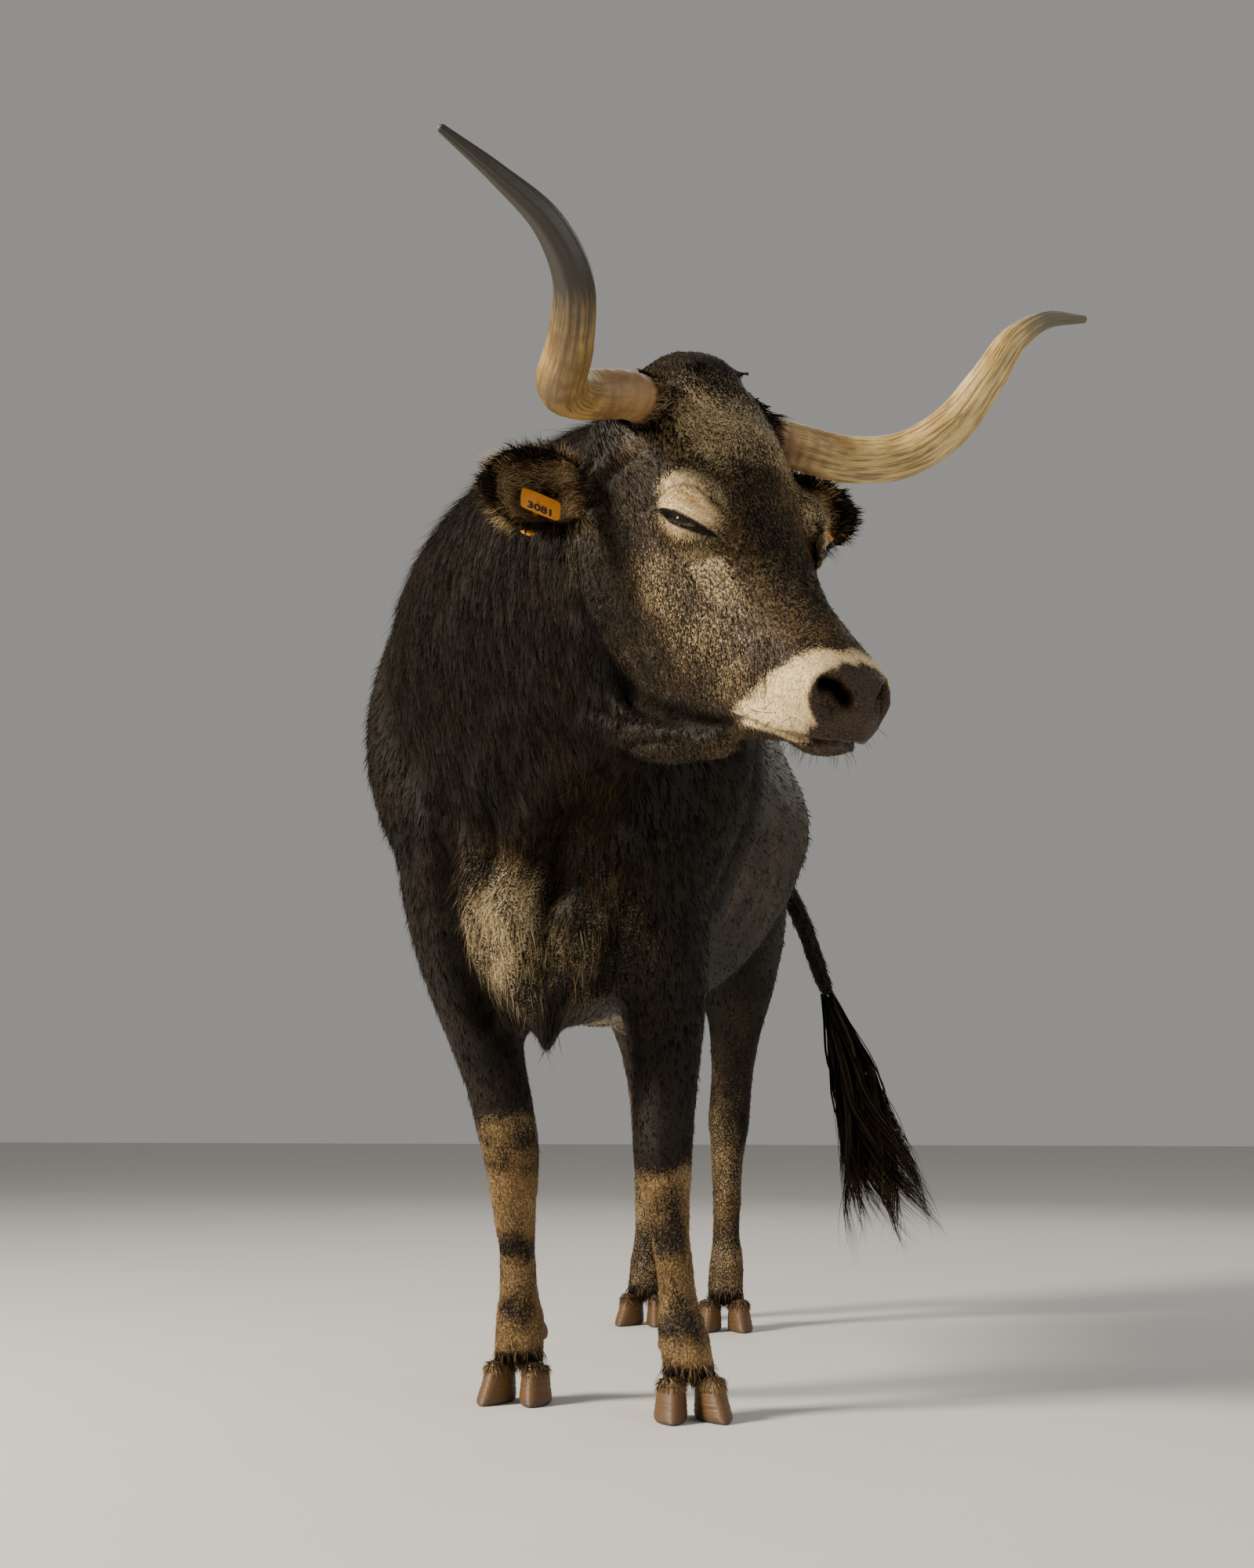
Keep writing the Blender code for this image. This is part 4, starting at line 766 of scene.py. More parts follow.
class Nodes:
    """Short way to lay out one material's nodes."""

    def __init__(self, name):
        self.material = bpy.data.materials.new(name)
        self.material.use_nodes = True
        self.tree = self.material.node_tree
        self.shader = self.tree.nodes["Principled BSDF"]

    def add(self, kind, settings=None, **inputs):
        node = self.tree.nodes.new("ShaderNode" + kind)
        for name, value in (settings or {}).items():
            setattr(node, name, value)
        for name, value in inputs.items():
            self.feed(node, name.replace("_", " "), value)
        return node

    def feed(self, node, name, value):
        socket = node.inputs[int(name)] if name.isdigit() else node.inputs[name]
        if isinstance(value, bpy.types.NodeSocket):
            self.tree.links.new(value, socket)
        else:
            socket.default_value = value

    def math(self, operation, first, second, clamp):
        node = self.add("Math", {"operation": operation, "use_clamp": clamp})
        self.feed(node, "0", first)
        self.feed(node, "1", second)
        return node.outputs[0]

    def plus(self, first, second, clamp=False):
        return self.math("ADD", first, second, clamp)

    def minus(self, first, second, clamp=False):
        return self.math("SUBTRACT", first, second, clamp)

    def times(self, first, second, clamp=False):
        return self.math("MULTIPLY", first, second, clamp)

    def span(self, value, low, high, first=0.0, last=1.0):
        """The first value up to low, the last one from high on, even between."""
        return self.add("MapRange", Value=value, From_Min=low, From_Max=high, To_Min=first,
                        To_Max=last).outputs[0]

    def mix(self, share, first, second, blend="MIX"):
        node = self.add("Mix", {"data_type": "RGBA", "blend_type": blend})
        for name, value in (("0", share), ("6", first), ("7", second)):
            self.feed(node, name, value)
        return node.outputs[2]

    def noise(self, scale, detail=3.0, vector=None, roughness=0.55):
        node = self.add("TexNoise", Scale=scale, Detail=detail, Roughness=roughness)
        self.feed(node, "Vector", vector or self.place())
        return node.outputs["Fac"]

    def place(self):
        return self.add("TexCoord").outputs["Object"]

    def attribute(self, name):
        return self.add("Attribute", {"attribute_name": name}).outputs

    def channels(self, colour):
        return self.add("SeparateColor", Color=colour).outputs

    def bump(self, height, strength, distance):
        node = self.add("Bump", Strength=strength, Distance=distance, Height=height)
        self.feed(self.shader, "Normal", node.outputs["Normal"])

    def done(self, colour, roughness):
        """Gives the shader its colour and roughness."""
        self.feed(self.shader, "Base Color", colour)
        self.feed(self.shader, "Roughness", roughness)
        return self.material


def coat_material(name, over_skin):
    """Grizzled hair: pale tufts stand among dark ones in the share that the markings give.
    Over the skin each tuft has painted shade towards its root and painted light at its tip. Marks holds
    the shares of cream, brown, grey and bare skin; Strand holds the share of a tuft's length, its lot and
    the painted crease shade."""
    look = Nodes(name)
    marks = look.attribute("Marks")
    shares = look.channels(marks["Color"])
    length, lot, crease_shade_share = look.channels(look.attribute("Strand")["Color"])
    blotch = look.minus(look.noise(11.0, 4.0), 0.5)
    if not over_skin:
        lot = look.span(look.noise(330.0, 2.0), 0.34, 0.66)
        length = look.noise(700.0, 1.0)
    scatter = look.plus(look.times(lot, -0.64), look.times(length, 0.26))
    scatter = look.plus(scatter, look.times(blotch, 0.9))
    if not over_skin:
        scatter = look.minus(scatter, 0.10)
    colour = BLACK
    for channel, hue in (("Green", BROWN), ("Blue", GREY), ("Red", CREAM)):
        amount = look.times(shares[channel], 1.60)
        spread = look.times(scatter, look.times(shares[channel], 6.0, True))
        colour = look.mix(look.plus(amount, spread, True), colour, hue)
    pebble = look.add("TexVoronoi", Scale=360.0)
    look.feed(pebble, "Vector", look.place())
    pebble = look.span(pebble.outputs["Distance"], 0.25, 0.75, 1.0, 0.0)
    colour = look.mix(marks["Alpha"], colour, look.mix(pebble, NOSE, NOSE_PEBBLE))
    if over_skin:
        # Painted shade towards each tuft's root and painted light towards its tip
        lit = look.plus(look.times(length, 0.42), 0.72)
        lit = look.add("CombineColor", Red=lit, Green=lit, Blue=lit).outputs[0]
        colour = look.mix(1.0, colour, lit, "MULTIPLY")
        roughness, shine = 0.50, 0.08
    else:
        look.bump(look.mix(marks["Alpha"], look.noise(420.0, 3.0), pebble), 0.55, 0.0012)
        roughness = look.plus(look.times(marks["Alpha"], -0.26), 0.60)
        # No sheen where the painted crease shade lies
        shine = look.times(look.minus(1.0, crease_shade_share, True), 0.16)
    look.feed(look.shader, "Specular IOR Level", shine)
    # Painted shade of the creases, mixed over the colour
    return look.done(look.mix(crease_shade_share, colour, PAINTED_CREASE_SHADE), roughness)


skin.data.materials.clear()
hide = coat_material("hide", False)
skin.data.materials.append(hide)
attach(skin, "root")
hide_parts(*FLESH, "ear_left", "ear_right")

# Two eyeballs under heavy lids: dark brown, glossy and wet, with a wide lying pupil. They are
# fine spheres with a slight bulge of clear cornea, held by the lids.


def eye_material():
    look = Nodes("eye")
    shares = look.channels(look.attribute("Iris")["Color"])
    iris = look.mix(look.noise(900.0, 2.0), (0.020, 0.009, 0.004, 1), (0.060, 0.027, 0.011, 1))
    white = look.mix(look.noise(160.0), (0.030, 0.018, 0.012, 1), (0.080, 0.055, 0.042, 1))
    colour = look.mix(shares["Red"], white, iris)
    colour = look.mix(shares["Green"], colour, (0.0015, 0.0017, 0.0028, 1))
    look.feed(look.shader, "Coat Weight", 1.0)
    look.feed(look.shader, "Coat Roughness", 0.02)
    return look.done(colour, 0.05)


eye_look = eye_material()
for side in SIDES:
    middle, along, up, gaze = eye_axes(side)
    rings = []
    for turn in np.linspace(0.02, math.pi - 0.02, 40):
        bulge = EYE_RADIUS * 0.985 * (1 + 0.055 * math.exp(-(turn / 0.42) ** 2))
        rings.append([middle + bulge * (gaze * math.cos(turn) + math.sin(turn) * (
            along * math.cos(angle) + up * math.sin(angle)))
            for angle in np.linspace(0, 2 * math.pi, 56, endpoint=False)])
    eye = rings_piece(f"eyeball_{side}", rings)
    places = np.array([corner.co for corner in eye.data.vertices]) - middle
    reach = np.linalg.norm(places - (places @ gaze)[:, None] * gaze, axis=1) / EYE_RADIUS
    reach = np.where(places @ gaze > 0, reach, 2.0)
    pupil = np.hypot((places @ along) / 0.0085, (places @ up) / 0.0042)
    pupil = np.where(places @ gaze > 0, pupil, 9.0)
    write_attribute(eye, "Iris", np.stack([1 - ramp(reach, 0.66, 0.76), 1 - ramp(pupil, 0.85, 1.15),
                                           pupil * 0], axis=1))
    eye.data.shade_smooth()
    eye.data.materials.append(eye_look)
    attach(eye, "root")
    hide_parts(f"eye_{side}")

# Lids: soft rolls of bare dark skin round each eye, with a wet margin and creases above and
# below, growing into the hide of the face.
LID_RINGS, LID_CORNERS = 30, 128
# Over each lid: distance from its margin, and how high the skin stands there
UPPER_FOLDS = ((0.0, -0.0020), (0.0012, -0.0002), (0.0032, 0.0006), (0.0058, -0.0004),
               (0.0085, -0.0022), (0.0120, 0.0014), (0.0165, 0.0026), (0.0225, 0.0008),
               (0.0270, 0.0002), (0.0320, 0.0006), (0.0400, -0.0010), (0.0600, -0.0050))
LOWER_FOLDS = ((0.0, -0.0020), (0.0012, -0.0002), (0.0034, 0.0008), (0.0070, -0.0006),
               (0.0100, -0.0014), (0.0140, 0.0006), (0.0190, -0.0006), (0.0240, 0.0004),
               (0.0400, -0.0010), (0.0600, -0.0050))


def lid_margin(angle):
    """Place of the lids' edge along and across the eye, at an angle round it."""
    run = math.cos(angle)
    rise = math.sin(angle)
    high = LID_OPEN[0] if rise > 0 else LID_OPEN[1]
    bow = (1 - abs(run) ** 1.7) ** 1.15
    return LID_HALF_LENGTH * run, math.copysign(high * bow, rise) + 0.0022 * run


def lid_patch(side):
    """Rings of the lids: from the slit's floor over the wet margins out under the face."""
    middle, along, up, gaze = eye_axes(side)
    spots, raised, marks = [], [], []
    for step in range(-3, LID_RINGS):
        for angle in np.linspace(0, 2 * math.pi, LID_CORNERS, endpoint=False):
            run, rise = lid_margin(angle)
            share = (max(0, step) / (LID_RINGS - 1)) ** 1.35
            across = rise + (LID_REACH[1] * math.sin(angle) - rise) * share
            beside = run + (LID_REACH[0] * math.cos(angle) - run) * share
            away = math.hypot(beside - run, across - rise)
            fold = np.interp(away, *zip(*(UPPER_FOLDS if math.sin(angle) > 0 else LOWER_FOLDS)))
            blend = abs(math.sin(angle)) ** 0.5
            fold = fold * blend + np.interp(away, *zip(*LOWER_FOLDS)) * (1 - blend)
            fold = fold * (1 - max(0.0, (step - 18) / 11)) - 0.0032 * max(0.0, (step - 16) / 13) ** 1.5
            if step < 0:
                centre = 0.0022 * math.cos(angle)
                across = centre + (rise - centre) * {-1: 0.80, -2: 0.40, -3: 0.0}[step]
                fold -= {-1: 0.0030, -2: 0.0062, -3: 0.0072}[step]
            spots.append((beside, across))
            raised.append(fold)
            marks.append(away if step >= 0 else 0.0)
    spots = np.array(spots)
    height = lid_height(spots[:, 0], spots[:, 1], side) + raised
    places = middle + np.outer(spots[:, 0], along) + np.outer(spots[:, 1], up) + np.outer(height, gaze)
    return places.reshape(-1, LID_CORNERS, 3), np.array(marks)


def patch_piece(name, rings, inward):
    """Closed shell of the rings, and the same rings again a little deeper behind them."""
    rings = np.array(rings)
    count, sides = rings.shape[:2]
    places = np.vstack([rings.reshape(-1, 3), (rings + inward)[::-1].reshape(-1, 3)])
    faces = []
    for ring in range(2 * count - 1):
        for step in range(sides):
            beside = (step + 1) % sides
            a, b = ring * sides + step, ring * sides + beside
            faces += [(a, b, b + sides), (a, b + sides, a + sides)]
    return mesh_piece(name, places, faces)


LID_SURFACES = {}
for side in SIDES:
    rings, away = lid_patch(side)
    gaze = eye_axes(side)[3]
    lid = patch_piece(f"lids_{side}", rings, gaze * -0.0015)
    marks = markings(np.array([corner.co for corner in lid.data.vertices]))
    marks[:, 3] = 1 - ramp(np.append(away, away[::-1]), 0.0026, 0.0058)
    write_attribute(lid, "Marks", marks)
    write_attribute(lid, "Strand", np.zeros((2 * len(away), 3)))
    places, faces = read_mesh(lid)
    top = faces[(faces < len(away)).all(axis=1)]
    normals = corner_normals(places, top)
    if (normals[len(away) // 2] @ gaze) < 0:
        normals = -normals
    LID_SURFACES[side] = (places[:len(away)], top, normals[:len(away)], away)
    turn_out(lid)
    lid.data.shade_smooth()
    lid.data.materials.append(hide)
    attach(lid, "root")

# Hair of the coat, as real tufts: each is a thin closed blade of solid mesh with its root
# under the hide, lying along the body as the coat lies. Short on face and feet, shaggy on
# poll and ears, long at the tail's switch.


def unit(ways):
    return ways / (np.linalg.norm(ways, axis=1)[:, None] + 1e-12)


def laid(ways, normals, stand, stray=0.0):
    """Ways laid along the skin, each strayed a little and raised by a share of the normal."""
    return unit(ways - normals * (ways * normals).sum(axis=1)[:, None] + stray + stand * normals)


def uneven_lot(value, least, more, count, dice):
    """The value made uneven by chance, from least of it to least + more."""
    return value * (least + more * dice.random(count))


def scattered(count, weight, seed, surface=None):
    """Random places on the skin, or on another surface, by a weight per face."""
    places, faces, normals = surface or (skin_places, skin_faces, skin_normals)
    dice = np.random.default_rng(seed)
    chance = np.linalg.norm(face_normals(places, faces), axis=1) * weight
    picked = faces[dice.choice(len(faces), count, p=chance / chance.sum())]
    first, second = dice.random(count), dice.random(count)
    flip = first + second > 1
    first[flip], second[flip] = 1 - first[flip], 1 - second[flip]
    shares = np.stack([1 - first - second, first, second], axis=1)[:, :, None]
    return (places[picked] * shares).sum(axis=1), unit((normals[picked] * shares).sum(axis=1)), dice


def lie_of_coat(places, normals):
    """Way in which the coat lies at each place: down the face, back along the body, down legs."""
    local = in_head(places)
    aside, down, out = local.T
    head = (1 - ramp((places - THROAT_CUT) @ NECK_WAY, -0.04, 0.05))[:, None]
    body = np.tile((0.0, 0.85, -0.45), (len(places), 1))
    neck = unit(np.tile((-0.14, 0.26, -1.0), (len(places), 1)))
    neck_share = (1 - ramp(places[:, 1], -0.45, -0.15))[:, None]
    way = toward(body, neck, neck_share)
    swirl = places - BRISKET_SWIRL
    around = np.cross(swirl, (0.55, 0.80, 0.10)) * 6 + (0, 0, -0.5)
    way = toward(way, around, near(places, BRISKET_SWIRL, (0.20, 0.20, 0.20))[:, None])
    legs = (1 - ramp(places[:, 2], 0.55, 0.85))[:, None] * (np.abs(places[:, 1] - 0.36)[:, None] > 0.42)
    way = toward(way, np.tile((0.0, 0.12, -1.0), (len(places), 1)), legs)
    tail = ramp(places[:, 1], 1.13, 1.20)[:, None]
    track = through(TAIL_LINE, 80)
    course = np.gradient(track, axis=0)
    nearest = np.linalg.norm(places[:, None] - track[None, ::4], axis=2).argmin(axis=1) * 4
    way = toward(way, unit(course)[nearest], tail)

    face = np.stack([aside * 2.0, 0.9 + 0 * aside, -0.10 - 1.1 * ramp(-out, 0.10, 0.22)], axis=1)
    for eye_side in (1, -1):
        ring = np.array(EYE) * (eye_side, 1, 1)
        away = local - ring
        share = near(local, ring, (0.062, 0.062, 0.062))[:, None]
        face = toward(face, unit(away) * 0.9 + (0, 0.35, 0), share)
    muzzle = ramp(down, 0.43, 0.47)[:, None]
    face = toward(face, unit(face) * 0.4 + (0, 0.2, -0.9), muzzle)
    way = toward(way, unit(face) @ HEAD.T, head)
    for side in SIDES:
        across = ear_coordinates(places, side)[1]
        along, over = ear_axes(side)[2:4]
        ear = head[:, 0] * ramp(aside * SIGN[side], 0.115, 0.135) * ramp(-down, -0.16, -0.13)
        way = toward(way, along + over * 0.25 * np.clip(across, -1, 1)[:, None], ear[:, None])
    return laid(way, normals, 0.0)


BLADE_SIDES = 3
BLADE_FLATNESS = 0.34
ROOT_SINK = 0.35        # how deep a blade's root lies, in its widths


def blades(roots, ways, normals, lengths, widths, rings, lift, wave, dice, sag=None, phase=None):
    """Closed tapered blades as one array: places, faces and each corner's share of its length."""
    count, sides = len(roots), BLADE_SIDES
    across = unit(np.cross(ways, normals))
    steps = np.linspace(0, 1, rings, endpoint=False)
    phase = dice.random(count) * 6.283 if phase is None else phase
    places = np.empty((count, rings * sides + 1, 3))
    angles = np.arange(sides) / sides * 2 * math.pi + (math.pi / 2)
    for index, step in enumerate(list(steps) + [1.0]):
        centre = roots + ways * (lengths * step)[:, None]
        centre = centre + normals * ((lift * lengths) * math.sin(step * 2.2))[:, None]
        swing = wave * lengths * step * np.sin(phase + step * 7.0)
        heave = 0.6 * wave * lengths * step * np.cos(phase * 1.7 + step * 6.0)
        centre = centre + across * swing[:, None]
        centre = centre + normals * heave[:, None]
        if sag is not None:
            centre = centre + sag * (lengths * step * step)[:, None]
        if index == 0:
            centre = centre - normals * (widths * ROOT_SINK)[:, None]
        if index == rings:
            places[:, -1] = centre
            break
        size = 0.5 * widths * (1 - step ** 1.6) * (0.75 + 0.5 * math.sin(math.pi * min(1, step + 0.2)))
        for turn, angle in enumerate(angles):
            beside = across * (size * math.cos(angle))[:, None]
            above = normals * (BLADE_FLATNESS * size * math.sin(angle))[:, None]
            places[:, index * sides + turn] = centre + beside + above
    faces = [(0, sides - 1 - turn, sides - 2 - turn) for turn in range(sides - 2)]
    for index in range(rings - 1):
        for turn in range(sides):
            a, b = index * sides + turn, index * sides + (turn + 1) % sides
            faces += [(a, b, b + sides), (a, b + sides, a + sides)]
    last = (rings - 1) * sides
    faces += [(last + turn, last + (turn + 1) % sides, rings * sides) for turn in range(sides)]
    share = np.repeat(np.append(steps, 1.0), [sides] * rings + [1])
    return places, np.array(faces), share


def unwrapped(roots, region):
    """Root places laid flat from a cylinder round the region's middle and axis, 0 to 1."""
    middle, axis = region
    axis = aimed(np.array(axis, dtype=float))
    side = aimed(np.cross(axis, (0.31, 0.17, 0.93)))
    other = np.cross(axis, side)
    rest = roots - np.array(middle)
    around = np.arctan2(rest @ other, rest @ side) / (2 * math.pi) + 0.5
    along = rest @ axis
    along = (along - along.min()) / max(1e-6, along.max() - along.min())
    return np.stack([0.01 + 0.98 * around, 0.01 + 0.98 * along], axis=1)


coat_look = coat_material("coat", True)


def coat_piece(name, hairs, lengths, width, shape, region, dice, sag=None, phase=None,
               look=None, clumps=0.0, above=0.0):
    """One piece of coat, with its markings, strands and bake patches. Hairs holds the blades'
    roots, ways and normals, shape their rings, lift and wave. A single width is made uneven.
    The markings are those of the skin a little above each root."""
    roots, ways, normals = hairs
    if np.ndim(width) == 0:
        width = uneven_lot(width, 0.7, 0.6, len(roots), dice)
    places, faces, share = blades(roots, ways, normals, lengths, width, *shape, dice, sag, phase)
    roots = roots + (0, 0, above)
    count, corners = places.shape[:2]
    mesh = bpy.data.meshes.new(name)
    total = count * corners
    mesh.vertices.add(total)
    mesh.vertices.foreach_set("co", places.ravel())
    rows = (faces[None] + (np.arange(count) * corners)[:, None, None]).reshape(-1, 3)
    mesh.loops.add(len(rows) * 3)
    mesh.loops.foreach_set("vertex_index", rows.ravel())
    mesh.polygons.add(len(rows))
    mesh.polygons.foreach_set("loop_start", np.arange(len(rows)) * 3)
    mesh.update(calc_edges=True)
    piece = new_piece(name, mesh)
    write_attribute(piece, "Marks", np.repeat(markings(roots), corners, axis=0))
    strand = np.empty((total, 3))
    strand[:, 0] = np.tile(share, count)
    lots = dice.random(count)
    clumped = 0.5 + 0.55 * wobble(roots, 13.0) + 0.35 * (lots - 0.5)
    strand[:, 1] = np.repeat(np.clip(toward(lots, clumped, clumps), 0, 1), corners)
    # Painted crease shade of the skin near each root
    strand[:, 2] = np.repeat(0.8 * crease_shade_near(roots), corners)
    write_attribute(piece, "Strand", strand)
    flat = np.repeat(unwrapped(roots, region), corners, axis=0)
    flat[:, 0] += 0.003 * (np.tile(np.arange(corners) / corners, count) - 0.5)
    flat[:, 1] += 0.003 * (np.tile(share, count) - 0.5)
    layer = mesh.uv_layers.new(name="OFBake")
    layer.data.foreach_set("uv", flat[rows.ravel()].ravel())
    mesh.shade_smooth()
    mesh.materials.append(look or coat_look)
    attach(piece, "root")
    return piece


def face_share(values):
    """Mean over each face's corners."""
    return values[skin_faces].mean(axis=1)


local = in_head(skin_places)
at_head = 1 - ramp((skin_places - THROAT_CUT) @ NECK_WAY, -0.02, 0.03)
at_ear = at_head * ramp(np.abs(local[:, 0]), 0.115, 0.13) * ramp(-local[:, 1], -0.16, -0.13)
at_poll = at_head * (1 - ramp(local[:, 1], 0.11, 0.16)) * ramp(local[:, 2], -0.12, -0.07) * (1 - at_ear)
at_muzzle = at_head * ramp(local[:, 1], 0.42, 0.46)
bare = markings(skin_places)[:, 3]


def both_round(place, reach):
    """1 round a place of the head and its mirror place, falling to 0 past the reach."""
    away = [np.linalg.norm(skin_places - on_head(place, side), axis=1) for side in SIDES]
    return sum(np.exp(-(far / reach) ** 4) for far in away)


shut = both_round(EYE, 0.026)
horn_root = both_round((0.115, 0.035, -0.055), 0.030)
at_shank = 1 - ramp(skin_places[:, 2], 0.40, 0.52)
at_tail = ramp(skin_places[:, 1], 1.13, 1.18)
at_neck = (1 - at_head) * (1 - ramp(skin_places[:, 1], -0.50, -0.25)) * ramp(skin_places[:, 2], 0.5, 0.6)
at_trunk = (1 - at_head) * (1 - at_neck) * (1 - at_shank) * (1 - at_tail)

HEAD_REGION = (on_head((0, 0.2, -0.15)), HEAD[:, 1])
POLL_REGION = (POLL, HEAD[:, 1])
crest = near(local, (0.050, 0.003, 0.020), (0.050, 0.045, 0.035))
face_weight = at_head * (1 - at_ear) * (1 - 0.8 * at_poll) * (1 - at_muzzle) * (1 - shut) * (1 - crest)
# Name, tufts, weight of each place, length, width, lift, middle and axis to unwrap round
COATS = [
    ("coat_barrel", 16500, at_trunk * ramp(skin_places[:, 1], -0.2, -0.1), 0.022, 0.0030, 0.02,
     ((-0.233, 0.4, 0.95), (0, 1, 0))),
    ("coat_chest", 13000, at_trunk * (1 - ramp(skin_places[:, 1], -0.2, -0.1)), 0.027, 0.0019,
     0.02, ((-0.233, 0.0, 0.80), (0, 0, 1))),
    ("coat_neck", 18000, at_neck, 0.044, 0.0015, 0.015, ((-0.05, -0.6, 1.05), (-0.45, 0.85, -0.2))),
    ("coat_face_left", 15500, face_weight * (local[:, 0] > 0), 0.0092, 0.0013, 0.05, HEAD_REGION),
    ("coat_face_right", 15500, face_weight * (local[:, 0] <= 0), 0.0092, 0.0013, 0.05, HEAD_REGION),
    ("coat_muzzle", 8000, at_muzzle * (1 - bare), 0.0040, 0.0009, 0.10,
     (on_head((0, 0.45, -0.15)), HEAD[:, 1])),
    ("coat_shanks", 13000, at_shank, 0.0085, 0.0017, 0.04, ((-0.233, 0.4, 0.3), (0, 0, 1))),
    ("coat_tail", 3000, at_tail, 0.022, 0.0028, 0.05, ((0.0, 1.25, 0.9), (0, 0, 1))),
]
for number, (name, count, weight, length, width, lift, region) in enumerate(COATS):
    roots, normals, dice = scattered(count, face_share(np.clip(weight, 0, 1)) + 1e-9, 100 + number)
    ways = lie_of_coat(roots, normals)
    ways = unit(ways + 0.15 * dice.normal(size=ways.shape) + 0.04 * normals)
    lengths = uneven_lot(length, 0.65, 0.7, count, dice)
    if name in ("coat_barrel", "coat_chest"):
        lengths *= 1 - 0.40 * (1 - ramp(roots[:, 2], 0.55, 0.85))
    if name == "coat_shanks":
        lengths *= 1 + 0.9 * (1 - ramp(roots[:, 2], 0.065, 0.085))
    clumps = 0.8 if name in ("coat_barrel", "coat_chest") else 0.0
    coat_piece(name, (roots, ways, normals), lengths, width, (2, lift, 0.03), region, dice, clumps=clumps)

# Coronets' fringe: stiff hair of the lower legs that grows just above the claws and hangs
# over them.
FRINGE_HAIRS = 1500
FEET_REGION = ((-0.233, 0.4, 0.05), (0, 0, 1))
fringe = bell(skin_places[:, 2], 0.068, 0.010)
roots, normals, dice = scattered(FRINGE_HAIRS, face_share(fringe) + 1e-9, 240)
ways = unit(lie_of_coat(roots, normals) + 0.16 * dice.normal(size=roots.shape) + 0.16 * normals)
lengths = uneven_lot(0.026, 0.6, 0.7, FRINGE_HAIRS, dice)
coat_piece("coat_coronets", (roots, ways, normals), lengths, 0.0020, (3, 0.05, 0.04), FEET_REGION, dice)

# Hair of the lids: short cream hair that grows round the eyes, and long dark stiff lashes
# that hang from the lids' edges.
LID_HAIRS = 4200
LASHES, UPPER_LASHES = 150, 100


def lash_material():
    look = Nodes("lashes")
    colour = look.mix(look.noise(200.0), (0.0035, 0.0025, 0.0020, 1), (0.012, 0.008, 0.005, 1))
    return look.done(colour, 0.42)


lash_look = lash_material()
for side in SIDES:
    middle, along, up, gaze = eye_axes(side)
    places, faces, normals, away = LID_SURFACES[side]
    weight = ramp(away, 0.0026, 0.0055)[faces].mean(axis=1) + 1e-9
    seed = 250 + (side == "left")
    roots, normals, dice = scattered(LID_HAIRS, weight, seed, (places, faces, normals))
    run, rise = eye_flat(roots, side)[:2]
    ways = np.outer(run / 0.055, along) + np.outer(np.sign(rise) * 0.55 + rise / 0.03, up)
    ways = laid(ways, normals, 0.08, 0.16 * dice.normal(size=roots.shape))
    lengths = uneven_lot(0.0068, 0.6, 0.7, LID_HAIRS, dice)
    coat_piece(f"coat_lids_{side}", (roots, ways, normals), lengths, 0.0011, (2, 0.06, 0.03),
               HEAD_REGION, dice)
    above, below = 18 + 144 * dice.random(LASHES), -25 - 130 * dice.random(LASHES)
    angle = np.radians(np.where(np.arange(LASHES) < UPPER_LASHES, above, below))
    edge = np.array([lid_margin(value) for value in angle])
    upper = np.sin(angle) > 0
    rise = edge[:, 1] + np.where(upper, 0.0012, -0.0012)
    level = lid_height(edge[:, 0], rise, side) + 0.0002
    roots = middle + np.outer(edge[:, 0], along) + np.outer(rise, up) + np.outer(level, gaze)
    ways = np.outer(edge[:, 0] / 0.05, along) + np.outer(np.where(upper, -0.42, -0.50), up) + gaze
    ways = unit(ways + 0.10 * dice.normal(size=roots.shape))
    normals = unit(np.outer(np.where(upper, 1.0, -1.0), up) + 0.2 * gaze)
    lengths = uneven_lot(np.where(upper, 0.0215, 0.0095), 0.75, 0.4, LASHES, dice)
    sag = np.where(upper, -0.45, -0.1)[:, None] * up[None]
    coat_piece(f"lashes_{side}", (roots, ways, normals), lengths, np.full(LASHES, 0.0010),
               (6, 0.02, 0.02), HEAD_REGION, dice, sag, look=lash_look)

# Whiskers: thin stiff dark feeling hairs, rooted singly in the skin of the chin and lips and
# standing well off it.
WHISKERS = 170
lips = at_muzzle * (1 - bare) * ramp(-local[:, 2], 0.13, 0.19)
roots, normals, dice = scattered(WHISKERS, face_share(lips) + 1e-9, 245)
ways = unit(normals + 0.5 * head_way((0, 0.2, -1.0)) + 0.25 * dice.normal(size=roots.shape))
lengths = uneven_lot(0.024, 0.5, 0.9, WHISKERS, dice)
hairs = roots, ways, unit(np.cross(ways, (0.3, 0.5, 0.8)))
coat_piece("whiskers", hairs, lengths, np.full(WHISKERS, 0.0008), (5, 0.06, 0.03), HEAD_REGION, dice,
           look=lash_look)

# Shaggy locks of the poll: wavy, cream-tipped, falling from the crown over the brow and the
# roots of the horns.
POLL_TUFTS = 5000
forehead = at_head * near(local, (0.0, 0.13, 0.0), (0.10, 0.12, 0.08))
poll_weight = np.maximum(at_poll, 0.8 * forehead) * (1 - 0.85 * horn_root) * (1 - 0.97 * crest)
roots, normals, dice = scattered(POLL_TUFTS, face_share(poll_weight) + 1e-9, 200)
crown = in_head(roots)
ways = lie_of_coat(roots, normals)
x, y, z = roots.T
swirl = np.stack([np.sin(x * 75 + z * 60), np.cos(x * 65 + y * 40), np.sin(z * 70)], axis=1) * 0.36
ways = laid(ways + swirl + 0.16 * dice.normal(size=ways.shape), normals, 0.03)
lengths = uneven_lot(0.024, 0.7, 0.6, POLL_TUFTS, dice) * (1 - 0.45 * ramp(crown[:, 1], 0.02, 0.18))
